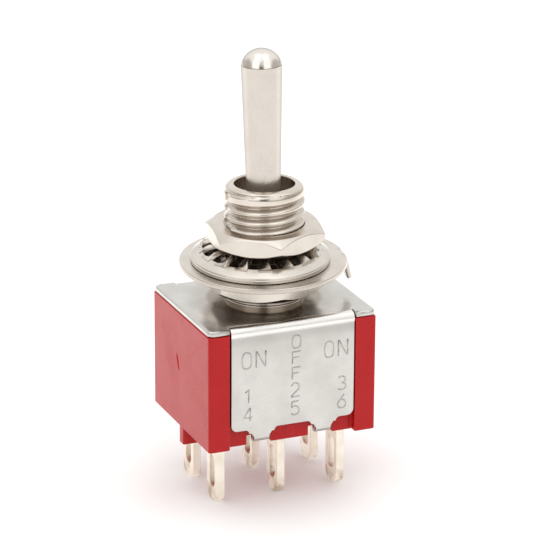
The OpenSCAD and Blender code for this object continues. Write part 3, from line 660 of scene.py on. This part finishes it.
def in_order(bm):
    """Puts the elements in an order that is the same each run.

    Corners are first rounded to a ten-thousandth of a millimetre, because noise
    below that would change the order.
    """
    rounded_corners(bm, 4)
    bm.verts.sort(key=lambda v: v.co.dot(SORT_ALONG))
    bm.verts.index_update()
    bm.edges.sort(key=lambda e: (e.verts[0].co + e.verts[1].co).dot(SORT_ALONG))
    bm.faces.sort(key=lambda f: f.calc_center_median().dot(SORT_ALONG))
    return bm


SLIVER, SPECK = 0.0015, 0.0002


def combine(bm, tool, operation, crossing=False):
    """Cuts, joins or crosses two solids, and returns the result as a new bmesh.

    The option crossing is for a first solid whose own parts cross each other.
    """
    pair = []
    for part in (bm, tool):
        mesh = bpy.data.meshes.new("solid")
        part.to_mesh(mesh)
        part.free()
        pair.append(bpy.data.objects.new("solid", mesh))
        scene.collection.objects.link(pair[-1])
    step = pair[0].modifiers.new("step", "BOOLEAN")
    step.object, step.operation = pair[1], operation
    step.solver, step.use_self = "EXACT", crossing
    result = bmesh.new()
    result.from_object(pair[0], bpy.context.evaluated_depsgraph_get())
    for used in pair:
        mesh = used.data
        bpy.data.objects.remove(used)
        bpy.data.meshes.remove(mesh)
    bmesh.ops.remove_doubles(result, verts=result.verts, dist=SLIVER)
    bmesh.ops.dissolve_degenerate(result, edges=result.edges, dist=SPECK)
    loose = [e for e in result.edges if not e.link_faces]
    bmesh.ops.delete(result, geom=loose, context="EDGES")
    return in_order(result)


def open_edges(bm):
    """How many edges lack a neighbour on one side: none on a closed solid."""
    return sum(1 for e in bm.edges if len(e.link_faces) != 2)


print("turning and cutting ready")

# %% Rounding and finishing
def round_edges(bm, width, sharper_than=25, segments=3, pick=lambda edge: True):
    """Rounds the edges that turn more than an angle, as tumbling or wear does."""
    bmesh.ops.remove_doubles(bm, verts=bm.verts, dist=0.0005)
    bmesh.ops.dissolve_limit(bm, angle_limit=math.radians(0.4), verts=bm.verts, edges=bm.edges)
    in_order(bm)
    limit = math.radians(sharper_than)
    sharp = [e for e in bm.edges
             if len(e.link_faces) == 2 and e.calc_face_angle(0) > limit and pick(e)]
    bmesh.ops.bevel(bm, geom=sharp, offset=width, offset_type="OFFSET", segments=segments,
                    profile=0.5, affect="EDGES", clamp_overlap=False, material=-1)
    return len(sharp)


def turn_all(bm, degrees, axis, centre=(0, 0, 0)):
    """Turns a whole mesh about an axis through a centre."""
    bmesh.ops.rotate(bm, cent=centre, verts=bm.verts,
                     matrix=Matrix.Rotation(math.radians(degrees), 3, axis))


def solid_of(node):
    """A CAD node's mesh in millimetres, with its loose triangles joined up."""
    bm = bmesh.new()
    bm.from_mesh(frame["nodes"][node].data)
    bmesh.ops.scale(bm, vec=(1000, 1000, 1000), verts=bm.verts)
    bmesh.ops.remove_doubles(bm, verts=bm.verts, dist=0.002)
    return bm


def finish_piece(bm, name, node, smooth_below=50, sharp_rim=None):
    """Scales a drawn piece to metres and puts it in the place of its CAD node.

    sharp_rim picks edges that stay sharp although they turn by a small angle.
    """
    gaps = open_edges(bm)
    bmesh.ops.scale(bm, vec=(MM, MM, MM), verts=bm.verts)
    mesh = bpy.data.meshes.new(name)
    bm.to_mesh(mesh)
    bm.free()
    mesh.shade_smooth()
    mesh.set_sharp_from_angle(angle=math.radians(smooth_below))
    for edge in mesh.edges if sharp_rim else ():
        if sharp_rim(mesh, edge):
            edge.use_edge_sharp = True
    mesh.materials.clear()
    mesh.materials.append(finishes[slot_of[node]])
    piece = bpy.data.objects.new(name, mesh)
    scene.collection.objects.link(piece)
    flats = piece.modifiers.new("flat_faces_first", "WEIGHTED_NORMAL")
    flats.keep_sharp = True
    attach(piece, body_of[node])
    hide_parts(node)
    low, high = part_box(node)
    size = [round(d / MM, 2) for d in high - low]
    new = [round(d / MM, 2) for d in piece.dimensions]
    print(name, "faces", len(mesh.polygons), "open edges", gaps, "size", new, "of", size)


print("rounding and finishing ready")

# %% [markdown]
# ## Case
# The case is a compression moulding: crisp, with corners only as round as the
# mould's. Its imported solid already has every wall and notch, so a copy of it is
# joined up and its sharp edges are rounded. The scar where the plastic was let
# in is a straight groove there, but the real one is broken off unevenly. So the
# groove is filled, and a slanting gouge is cut instead.

# %% Case
CASE_EDGE = 0.09
SCAR_Y, SCAR_HALF_W = 0.6, 0.6
SCAR_DEPTHS, SCAR_LEVELS = (-6.59, -6.3), (-5.6, -3.2)     # in X and in Z
FILL_DEPTH, FILL_SIDES, FILL_HALF_H = 0.3, (-0.1, 1.3), 1
GOUGE_HALF, GOUGE_LEAN = (0.10, 0.18, 0.68), -22
bm = solid_of("case")
rounded_corners(bm)
scar_z = [v.co.z for v in bm.verts
          if SCAR_DEPTHS[0] < v.co.x < SCAR_DEPTHS[1] and abs(v.co.y - SCAR_Y) < SCAR_HALF_W
          and SCAR_LEVELS[0] < v.co.z < SCAR_LEVELS[1]]
end_x = min(v.co.x for v in bm.verts)
scar_middle = (min(scar_z) + max(scar_z)) / 2
filling = block((end_x, FILL_SIDES[0], scar_middle - FILL_HALF_H),
                (end_x + FILL_DEPTH, FILL_SIDES[1], scar_middle + FILL_HALF_H))
bm = combine(bm, filling, "UNION")
count = round_edges(bm, CASE_EDGE)
gouge = bmesh.new()
bmesh.ops.create_uvsphere(gouge, u_segments=24, v_segments=16, radius=1)
bmesh.ops.scale(gouge, vec=GOUGE_HALF, verts=gouge.verts)
turn_all(gouge, GOUGE_LEAN, "X")
bmesh.ops.translate(gouge, vec=(end_x, SCAR_Y, scar_middle), verts=gouge.verts)
bm = combine(bm, gouge, "DIFFERENCE")
print("case edges rounded:", count, "scar at", round(scar_middle, 2), "mm")
finish_piece(bm, "moulded_case", "case")

# %% [markdown]
# ## Lettering
# The words and the terminal numbers are struck into the cover with narrow
# punches. Each letter is a few strokes, so a stroke is a thin round rod that
# lies partly in the sheet, and cutting all the rods away leaves the letters.
# The glyphs are drawn on a square of side 1.

# %% Glyphs
def bow(x, z, half_w, half_h, start, end, steps=14, squareness=1.0):
    """Points along part of an oval, with angles in degrees."""
    points = []
    for i in range(steps + 1):
        angle = math.radians(start + (end - start) * i / steps)
        c, s = math.cos(angle), math.sin(angle)
        points.append((x + half_w * math.copysign(abs(c) ** squareness, c),
                       z + half_h * math.copysign(abs(s) ** squareness, s)))
    return points


GLYPHS = {
    "O": [bow(0.5, 0.5, 0.5, 0.5, 90, 450, 24, 0.75)],
    "N": [[(0, 0), (0, 1)], [(0, 1), (1, 0)], [(1, 0), (1, 1)]],
    "F": [[(0, 0), (0, 1)], [(0, 0.97), (1, 0.97)], [(0, 0.52), (0.8, 0.52)]],
    "1": [[(0.2, 0.76), (0.58, 1.0)], [(0.58, 1.0), (0.58, 0)]],
    "2": [bow(0.5, 0.7, 0.48, 0.3, 165, -30) + [(0, 0)], [(0, 0), (1, 0)]],
    "3": [bow(0.48, 0.76, 0.44, 0.24, 150, -90), bow(0.48, 0.26, 0.5, 0.26, 90, -150)],
    "4": [[(0.74, 0), (0.74, 1)], [(0.74, 1), (0, 0.3), (1, 0.3)]],
    "5": [[(0.9, 1), (0.15, 1)], [(0.15, 1), (0.08, 0.56)], bow(0.46, 0.33, 0.52, 0.33, 132, -145)],
    "6": [[(0.78, 1)] + bow(0.5, 0.32, 0.48, 0.32, 165, 525, 22)],
}
print("glyphs:", "".join(GLYPHS))

# %% Places of the letters
# Each word has its text, the middle of its first letter in X and Z, the step
# from letter to letter, and a letter's width and height, all in millimetres.
WORDS = [("ON", -3.65, -2.56, 1.10, 0.72, 1.25), ("ON", 2.84, -2.60, 1.10, 0.72, 1.25),
         ("O", 0.24, -1.62, 0, 0.68, 1.0), ("F", 0.24, -2.84, 0, 0.62, 0.95),
         ("F", 0.24, -4.06, 0, 0.62, 0.95),
         ("1", -3.55, -5.33, 0, 0.66, 1.05), ("2", 0.17, -5.35, 0, 0.66, 1.05),
         ("3", 3.89, -5.37, 0, 0.66, 1.05),
         ("4", -3.55, -6.78, 0, 0.66, 1.05), ("5", 0.17, -6.80, 0, 0.66, 1.05),
         ("6", 3.89, -6.82, 0, 0.66, 1.05)]
STROKE_R, STROKE_OUT = 0.085, 0.045          # a rod's radius, and how far out it lies
CLOSED_FROM = 10               # a stroke with more points than this may be a closed oval
BESIDE = ((0, -9, 0), (0.1, -8.9, 0.1))      # a speck of a block, well clear of the cover


def punches():
    """All the strokes of the lettering as thin rods on the cover's front face."""
    curve = bpy.data.curves.new("strokes", "CURVE")
    curve.dimensions = "3D"
    curve.bevel_depth, curve.bevel_resolution, curve.use_fill_caps = STROKE_R, 2, True
    for text, x, z, pitch, width, tall in WORDS:
        for place, letter in enumerate(text):
            for stroke in GLYPHS[letter]:
                gap = (Vector(stroke[0]) - Vector(stroke[-1])).length
                closed = len(stroke) > CLOSED_FROM and gap < 1e-4
                points = stroke[:-1] if closed else stroke
                line = curve.splines.new("POLY")
                line.points.add(len(points) - 1)
                line.use_cyclic_u = closed
                for point, (u, v) in zip(line.points, points):
                    point.co = (x + pitch * place + (u - 0.5) * width, ENGRAVED_Y - STROKE_OUT,
                                z + (v - 0.5) * tall, 1)
    rods = bpy.data.objects.new("strokes", curve)
    scene.collection.objects.link(rods)
    bpy.context.view_layer.update()
    shown_rods = rods.evaluated_get(bpy.context.evaluated_depsgraph_get())
    mesh = bpy.data.meshes.new_from_object(shown_rods)
    bm = bmesh.new()
    bm.from_mesh(mesh)
    bpy.data.meshes.remove(mesh)
    bpy.data.objects.remove(rods)
    bpy.data.curves.remove(curve)
    bmesh.ops.remove_doubles(bm, verts=bm.verts, dist=1e-4)
    bmesh.ops.recalc_face_normals(bm, faces=bm.faces)
    # Strokes cross each other. Joined with the speck, they become clean solids.
    return combine(bm, block(*BESIDE), "UNION", crossing=True)


print("words and numbers:", len(WORDS))

# %% [markdown]
# ## Cover frame
# One blank of steel is punched, folded over the case and clinched under it. A
# fold pressed this hard has a fuller outline than a quarter circle. Its corners
# are moved outwards along the bend, which keeps the mesh as it is, where a cut
# would leave slivers. The punch leaves slightly rolled edges, so the edges are
# rounded next, and the lettering is cut last, to stay crisp.

# %% Bends of the cover
BEND_R, SQUARENESS = 0.7, 0.72
bm = solid_of("cover_frame")
rounded_corners(bm)
cover_y = max(v.co.y for v in bm.verts)
flap_x = max(v.co.x for v in bm.verts if v.co.z < -1.5)
moved = 0
for v in bm.verts:
    outward, upward = abs(v.co.y) - (cover_y - BEND_R), v.co.z + BEND_R
    on_flap = abs(v.co.x) < flap_x + 0.01 and min(outward, upward) > 0.001
    if on_flap and abs(math.hypot(outward, upward) - BEND_R) < 0.01:
        fuller_y, fuller_z = (BEND_R * (c / BEND_R) ** SQUARENESS for c in (outward, upward))
        v.co.y = math.copysign(cover_y - BEND_R + fuller_y, v.co.y)
        v.co.z = -BEND_R + fuller_z
        moved += 1
print("corners moved on the bends:", moved, "open edges:", open_edges(bm))

# %% Cover frame
SLIT_OUT, SLIT_REACH = 0.08, 0.13            # a slit's middle past the flap, and its reach
TOP_EDGE_R, OTHER_EDGE_R = 0.2, 0.05
CLEAR_OF_BUSHING = 4.2


def by_relief(e):
    """True for the short edges of the slits at the ends of a bend."""
    middle = (e.verts[0].co + e.verts[1].co) / 2
    beside_flap = abs(abs(middle.x) - flap_x - SLIT_OUT) < SLIT_REACH
    return beside_flap and abs(middle.y) > cover_y - 1.2 and middle.z > -1.2


def on_top_edge(e):
    """True for the outer edges of the top face, away from the bushing."""
    return not by_relief(e) and all(
        v.co.z > -0.01 and v.co.xy.length > CLEAR_OF_BUSHING for v in e.verts)


top_edge = round_edges(bm, TOP_EDGE_R, sharper_than=60, pick=on_top_edge)
count = round_edges(bm, OTHER_EDGE_R, sharper_than=60, pick=lambda e: not by_relief(e))
print("cover edges rounded:", top_edge, count)
bm = combine(bm, punches(), "DIFFERENCE")

# %% Crisp rims of the letters
LETTERS_LOW, LETTERS_TOP, LETTERS_HALF = -7.6, -0.9, 4.75


def letter_rim(mesh, edge):
    """True for an edge between the flat front of the flap and a letter's groove."""
    ends = [mesh.vertices[i].co / MM for i in edge.vertices]
    return all(abs(v.y - ENGRAVED_Y) < 0.003 and LETTERS_LOW < v.z < LETTERS_TOP
               and abs(v.x) < LETTERS_HALF for v in ends)


finish_piece(bm, "stamped_cover", "cover_frame", sharp_rim=letter_rim)

# %% [markdown]
# ## Bushing
# The bushing is turned from bar and then threaded. Its outline is spun first,
# at the thread's full diameter where the thread shows and at its core where a
# nut hides it. The thread is then cut as a lathe would: a narrow V is carried
# round and up at once, and moves outwards at the end, where the tool leaves.

# %% Sizes of the bushing
CREST_R, CORE_R, ROOT_R, PITCH = 2.97, 2.6, 2.56, 0.75
STAKE_R, SPIGOT_R, SOCKET_R, SEAT_R, SEAT_BALL_R = 2.9, 2.55, 1.9, 1.55, 1.85
STAKE_LOW, RIM_ROUND, PIVOT = -0.78, 0.6, 4.8
SEAT_ANGLE = math.radians(35)
seat_low, seat_top = (
    PIVOT + (SEAT_BALL_R - radius * math.cos(SEAT_ANGLE)) / math.sin(SEAT_ANGLE)
    for radius in (SOCKET_R, SEAT_R))
print("seat from", round(seat_low, 3), "to", round(seat_top, 3), "mm")

# %% Turned bushing
NECK_R, NECK_LOW, NECK_END = 2.88, 0.36, 1.02
LOWER_NUT_TOP, UPPER_NUT_LOW, UPPER_NUT_TOP = 2.44, 4.26, 5.42
stake_top = STAKE_LOW + 0.35
bm = turned(
    [(SOCKET_R, STAKE_LOW), (STAKE_R, STAKE_LOW), (STAKE_R, stake_top), (SPIGOT_R, stake_top),
     (SPIGOT_R, 0), (CREST_R, 0), (CREST_R, 0.26), (NECK_R, NECK_LOW), (NECK_R, NECK_END),
     (CORE_R, NECK_END), (CORE_R, LOWER_NUT_TOP), (CREST_R, LOWER_NUT_TOP),
     (CREST_R, UPPER_NUT_LOW), (CORE_R, UPPER_NUT_LOW), (CORE_R, UPPER_NUT_TOP),
     (CREST_R, UPPER_NUT_TOP), (CREST_R, RIM_TOP), (MOUTH_R, RIM_TOP),
     (MOUTH_R, seat_top + 1.2), (SEAT_R, seat_top + 0.15), (SEAT_R, seat_top),
     (SOCKET_R, seat_low)],
    roundings=[(16, RIM_ROUND), (17, 0.12), (6, 0.05), (7, 0.06), (1, 0.08)], steps=144, segments=8)
print("turned faces:", len(bm.faces))

# %% Thread
THREAD_START = 1.131           # level of the root at +X, inside the lower nut
STEPS, TURNS, RUN_OUT = 72, 8.69, 112
LIFT_OUT, MOVE_OUT = 0.0035, 0.0032          # at each step of the run-out


def thread_cutter():
    """A V carried up a helix, closed at both ends, with a run-out at the top."""
    bm = bmesh.new()
    outer_r, root_half, outer_half = CREST_R + 0.06, 0.05, 0.353
    section = [(ROOT_R, -root_half), (ROOT_R, root_half), (outer_r, outer_half),
               (outer_r, -outer_half)]
    face = bm.faces.new([bm.verts.new((r, 0, THREAD_START + z)) for r, z in section])
    step = 2 * math.pi / STEPS
    made = bmesh.ops.spin(bm, geom=[face], cent=(0, 0, 0), axis=(0, 0, 1),
                          dvec=(0, 0, PITCH / STEPS), angle=step * round(TURNS * STEPS),
                          steps=round(TURNS * STEPS))
    for i in range(RUN_OUT):
        made = bmesh.ops.spin(bm, geom=made["geom_last"], cent=(0, 0, 0), axis=(0, 0, 1),
                              dvec=(0, 0, PITCH / STEPS + LIFT_OUT), angle=step, steps=1)
        last = [v for v in made["geom_last"] if isinstance(v, bmesh.types.BMVert)]
        outward = Vector((sum(v.co.x for v in last), sum(v.co.y for v in last), 0)).normalized()
        bmesh.ops.translate(bm, vec=outward * MOVE_OUT, verts=last)
    bmesh.ops.remove_doubles(bm, verts=bm.verts, dist=1e-5)
    bmesh.ops.recalc_face_normals(bm, faces=bm.faces)
    return bm


cutter = thread_cutter()
print("cutter faces:", len(cutter.faces), "open edges:", open_edges(cutter))
bm = combine(bm, cutter, "DIFFERENCE")
print("threaded faces:", len(bm.faces))

# %% Keyway and slots of the bushing
# The keyway only marks the crests of the thread. Two slots under the seat take
# the ears of the lever's ball.
KEYWAY_HALF, KEYWAY_FLOOR, KEYWAY_END = 0.45, 2.8, 0.44
SLOT_HALF, SLOT_REACH = 0.5, 2.3
FREE_FROM = 5.45               # the thread shows above this level
keyway = block((-4, -KEYWAY_HALF, 1), (-KEYWAY_FLOOR, KEYWAY_HALF, RIM_TOP - KEYWAY_END))
bm = combine(bm, keyway, "DIFFERENCE")
slots = block((-SLOT_HALF, -SLOT_REACH, STAKE_LOW - 0.1), (SLOT_HALF, SLOT_REACH, PIVOT))
bm = combine(bm, slots, "DIFFERENCE")
count = round_edges(bm, 0.05, sharper_than=35, segments=2, pick=lambda e: all(
    v.co.xy.length > CORE_R - 0.2 and v.co.z > FREE_FROM for v in e.verts))
print("bushing edges rounded:", count)
finish_piece(bm, "threaded_bushing", "bushing", smooth_below=40)

# %% [markdown]
# ## Lever
# The bat is turned brass: a slow taper, a dome that is polished after plating,
# and below it the ball and arm that work the inside. One outline holds all of
# it, with its arcs drawn by spinning a single corner.

# %% Lever
def arc(bm, start, centre_z, degrees, steps):
    """Carries one corner of an outline round a centre on the axis."""
    made = bmesh.ops.spin(bm, geom=[start], cent=(0, 0, centre_z), axis=(0, 1, 0),
                          angle=math.radians(degrees), steps=steps)
    return next(v for v in made["geom_last"] if isinstance(v, bmesh.types.BMVert))


def line_to(bm, start, radius, z):
    """Draws the next straight edge of an outline."""
    end = bm.verts.new((radius, 0, z))
    bm.edges.new((start, end))
    return end


DOME_R, DOME_Z, BALL_R, TIP_R, TIP_Z = 1.55, 17.45, 1.8, 0.8, -2.6
TIP_NECK_R, ARM_R, BAT_NECK_R, BAT_LOW_R, BAT_TOP_R = 0.55, 0.85, 1.15, 1.27, 1.5
STEP_R, DOME_FOOT_R, BAT_TOP_Z, STEP_Z = 1.462, 1.49, 17.80, 17.83
LEVER_LEAN = 1.2               # the play of the bat at rest, in degrees
bm = bmesh.new()
corner = bm.verts.new((0, 0, TIP_Z - TIP_R))
tip_angle = 180 - math.degrees(math.asin(TIP_NECK_R / TIP_R))
corner = arc(bm, corner, TIP_Z, -tip_angle, 20)
arm_meets = math.degrees(math.acos(ARM_R / BALL_R))
corner = line_to(bm, corner, BALL_R * math.cos(math.radians(arm_meets)),
                 PIVOT - BALL_R * math.sin(math.radians(arm_meets)))
neck_meets = math.degrees(math.acos(BAT_NECK_R / BALL_R))
corner = arc(bm, corner, PIVOT, -(arm_meets + neck_meets), 24)
corner = line_to(bm, corner, BAT_LOW_R, RIM_TOP)
corner = line_to(bm, corner, BAT_TOP_R, BAT_TOP_Z)
corner = line_to(bm, corner, STEP_R, STEP_Z)
dome_start = math.degrees(math.acos(DOME_FOOT_R / DOME_R))
corner = line_to(bm, corner, DOME_FOOT_R, DOME_Z + DOME_R * math.sin(math.radians(dome_start)))
corner = arc(bm, corner, DOME_Z, -(90 - dome_start), 28)
print("outline ends at", [round(c, 3) for c in corner.co])

# %% Turned lever with its ears
EAR_R, EAR_SPAN = 0.45, 4.5
bmesh.ops.spin(bm, geom=bm.verts[:] + bm.edges[:], cent=(0, 0, 0), axis=(0, 0, 1),
               angle=2 * math.pi, steps=96, use_merge=True)
bmesh.ops.remove_doubles(bm, verts=bm.verts, dist=1e-4)
bmesh.ops.recalc_face_normals(bm, faces=bm.faces)
bat = [v for v in bm.verts if v.co.z > PIVOT + 1.0]
bmesh.ops.rotate(bm, cent=(0, 0, PIVOT), verts=bat,
                 matrix=Matrix.Rotation(math.radians(-LEVER_LEAN), 3, "Y"))
ears = bmesh.new()
bmesh.ops.create_cone(ears, cap_ends=True, segments=32, radius1=EAR_R, radius2=EAR_R,
                      depth=EAR_SPAN)
turn_all(ears, 90, "X")
bmesh.ops.translate(ears, vec=(0, 0, PIVOT), verts=ears.verts)
bm = combine(bm, ears, "UNION")
finish_piece(bm, "bat_lever", "lever", smooth_below=30)

# %% [markdown]
# ## The loose stack
# A nut that was only started by hand sits a little crooked on its thread, and
# the washers under it lean with it. So the two washers and the upper nut are
# drawn level and then tipped together, about a point on their front edge.

# %% Lean of the stack
STACK_LEAN, WASHER_R, WASHER_Z = math.radians(2.4), 6.19, 2.55


def lean(bm, reach, level):
    """Tips a piece towards the camera side about a point on its front edge."""
    bmesh.ops.rotate(bm, cent=flat_toward * reach + Vector((0, 0, level)), verts=bm.verts,
                     matrix=Matrix.Rotation(STACK_LEAN, 3, right))
    return bm


print("stack leans", round(math.degrees(STACK_LEAN), 1), "degrees")

# %% [markdown]
# ## Nuts
# A thin nut is cut from hexagon bar and chamfered on both faces, which leaves
# the curved line where each flat meets the chamfer. Crossing a turned ring with
# a hexagonal prism gives just that line. The outline of the ring is the chamfer
# and the countersunk bore.

# %% Nuts
NUT_AF, CHAMFER, INSET, BORE_R, SINK = 8.0, math.radians(34), 0.15, 2.66, 0.33
PAST_CORNER = 0.3              # how far the ring reaches past the hexagon's corners
LEAN_ABOUT = 4.0               # the nut tips about its front flat


def thin_nut(bottom, tall, turn):
    """A hexagon nut between two levels, turned about Z by an angle in degrees."""
    corner_r = NUT_AF / 2 / math.cos(math.pi / 6)
    top, flat_r, out_r = bottom + tall, NUT_AF / 2 - INSET, corner_r + PAST_CORNER
    drop = (out_r - flat_r) * math.tan(CHAMFER)
    ring = turned([(BORE_R + SINK, bottom), (flat_r, bottom), (out_r, bottom + drop),
                   (out_r, top - drop), (flat_r, top), (BORE_R + SINK, top),
                   (BORE_R, top - SINK), (BORE_R, bottom + SINK)])
    prism = bmesh.new()
    bmesh.ops.create_cone(prism, cap_ends=True, segments=6, radius1=out_r - PAST_CORNER,
                          radius2=out_r - PAST_CORNER, depth=tall + 2)
    corner = max(prism.verts, key=lambda v: v.co.x)
    have = math.atan2(corner.co.y, corner.co.x)
    bmesh.ops.rotate(prism, cent=(0, 0, 0), verts=prism.verts,
                     matrix=Matrix.Rotation(math.radians(turn) - have, 3, "Z"))
    bmesh.ops.translate(prism, vec=(0, 0, bottom + tall / 2), verts=prism.verts)
    nut = combine(ring, prism, "INTERSECT")
    round_edges(nut, 0.04, sharper_than=18)
    return nut


lower_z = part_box("lower_nut")[0].z / MM
upper_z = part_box("upper_nut")[0].z / MM
finish_piece(thin_nut(lower_z, 1.6, 25), "lower_hex_nut", "lower_nut")
upper_nut = lean(thin_nut(upper_z, 1.45, 23), LEAN_ABOUT, upper_z)
finish_piece(upper_nut, "upper_hex_nut", "upper_nut")

# %% [markdown]
# ## Washers
# The keyed washer is blanked from strip, so its upper edge is rolled over, and
# its key and locating tab are part of it. The lock washer is a dished ring with
# sixteen teeth. Each tooth starts flat in the ring and twists on its way
# inwards, so one tooth is drawn, twisted and carried round the ring.

# %% Keyed washer
PACKED_R = 6.3                 # the washer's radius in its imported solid
RIM_FROM, TAB_FROM, TAB_TOP, FOOT_TOP = 5.6, 5.9, 2.3, 1.5
TAB_SPLAY, FOOT_DOWN = 0.16, 0.45            # the tab leans out more and ends lower
WASHER_PLAY = (-0.06, 0.05, -0.1)            # where it lies loose on the thread
bm = solid_of("keyed_washer")
for v in bm.verts:
    if v.co.xy.length > RIM_FROM:
        v.co.xy *= WASHER_R / PACKED_R
    if v.co.x > TAB_FROM and v.co.z < TAB_TOP:
        v.co.x += (TAB_TOP - v.co.z) * TAB_SPLAY
        v.co.z -= FOOT_DOWN if v.co.z < FOOT_TOP else 0
count = round_edges(bm, 0.09, sharper_than=40, segments=3)
print("washer edges rounded:", count)
bmesh.ops.translate(bm, vec=WASHER_PLAY, verts=bm.verts)
finish_piece(lean(bm, WASHER_R, WASHER_Z), "locating_washer", "keyed_washer")

# %% One tooth of the lock washer
LOCK_R, RIM_W, LOCK_T, RISE, TEETH, TWIST, LEAN = 5.15, 0.85, 0.40, 0.46, 16, 36, 14
TOOTH_LEN, TOOTH_W, IN_RIM, TOOTH_LIFT = 1.4, 1.0, 0.24, 0.17
TWIST_OVER = 0.55              # the share of a tooth's length over which it twists
lock_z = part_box("lock_washer")[0].z / MM
lock_low, lock_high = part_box("lock_washer")
lock_x = (lock_low.x + lock_high.x) / 2 / MM
half_h = (TOOTH_W * math.sin(math.radians(TWIST)) + LOCK_T * math.cos(math.radians(TWIST))) / 2
tooth_z = lock_z + half_h + TOOTH_LEN / 2 * math.sin(math.radians(LEAN)) + TOOTH_LIFT
tooth_r = LOCK_R - RIM_W + IN_RIM - TOOTH_LEN / 2


def lock_tooth():
    """One tooth, flat at its root and twisted toward its inner end."""
    bm = bmesh.new()
    bmesh.ops.create_cube(bm, size=1)
    bmesh.ops.scale(bm, vec=(TOOTH_LEN, TOOTH_W, LOCK_T), verts=bm.verts)
    long_edges = [e for e in bm.edges if abs((e.verts[0].co - e.verts[1].co).x) > 0.5]
    bmesh.ops.bevel(bm, geom=long_edges, offset=0.05, offset_type="OFFSET", segments=2,
                    profile=0.5, affect="EDGES", material=-1)
    long_edges = [e for e in bm.edges if abs((e.verts[0].co - e.verts[1].co).x) > 0.5]
    bmesh.ops.subdivide_edges(bm, edges=long_edges, cuts=8, use_grid_fill=True)
    for v in bm.verts:
        along = min(1, max(0, (TOOTH_LEN / 2 - v.co.x) / (TOOTH_LEN * TWIST_OVER)))
        turn = math.radians(TWIST) * along * along * (3 - 2 * along)
        bmesh.ops.rotate(bm, cent=(0, 0, 0), matrix=Matrix.Rotation(turn, 3, "X"), verts=[v])
    turn_all(bm, LEAN, "Y")
    bmesh.ops.translate(bm, vec=(tooth_r, 0, tooth_z), verts=bm.verts)
    return bm


print("tooth middle at", round(tooth_r, 2), round(tooth_z, 2))

# %% Lock washer
FIRST_TOOTH_AT = 4             # in degrees from +X
LOCK_PLAY, LOCK_DOWN = 0.07, 0.1
bm = turned([(LOCK_R, lock_z), (LOCK_R, lock_z + LOCK_T),
             (LOCK_R - RIM_W, lock_z + LOCK_T + RISE), (LOCK_R - RIM_W, lock_z + RISE)],
            roundings=[(0, 0.05), (1, 0.1), (2, 0.06), (3, 0.04)], segments=3)
teeth = lock_tooth()
turn_all(teeth, FIRST_TOOTH_AT, "Z")
bmesh.ops.spin(teeth, geom=teeth.verts[:] + teeth.edges[:] + teeth.faces[:], cent=(0, 0, 0),
               axis=(0, 0, 1), angle=2 * math.pi * (TEETH - 1) / TEETH, steps=TEETH - 1,
               use_duplicate=True)
bmesh.ops.recalc_face_normals(teeth, faces=teeth.faces)
bm = combine(bm, teeth, "UNION")
bmesh.ops.translate(bm, vec=(lock_x - LOCK_PLAY, 0, -LOCK_DOWN), verts=bm.verts)
finish_piece(lean(bm, WASHER_R, WASHER_Z), "toothed_washer", "lock_washer")

# %% [markdown]
# ## Terminals
# The six lugs are blanked from silver-plated strip and barrelled, which rounds
# every edge a little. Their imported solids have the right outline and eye, so
# each one is a joined-up copy with rounded edges.

# %% Terminals
for node in sorted(n for n in frame["nodes"] if n.startswith("terminal_")):
    bm = solid_of(node)
    round_edges(bm, 0.07, sharper_than=30)
    finish_piece(bm, node.replace("terminal_", "lug_"), node)

# %% [markdown]
# ## Inner parts
# The carrier, plungers, springs and rocking contacts lie inside. Their packed
# shapes are kept as they are, and only get a finish.

# %% Finishes of the inner parts
for node in sorted(slot_of):
    solid = frame["nodes"][node]
    solid.data.materials.clear()
    solid.data.materials.append(finishes[slot_of[node]])
print("inner parts finished:", sum(1 for n in slot_of if not frame["nodes"][n].hide_render))
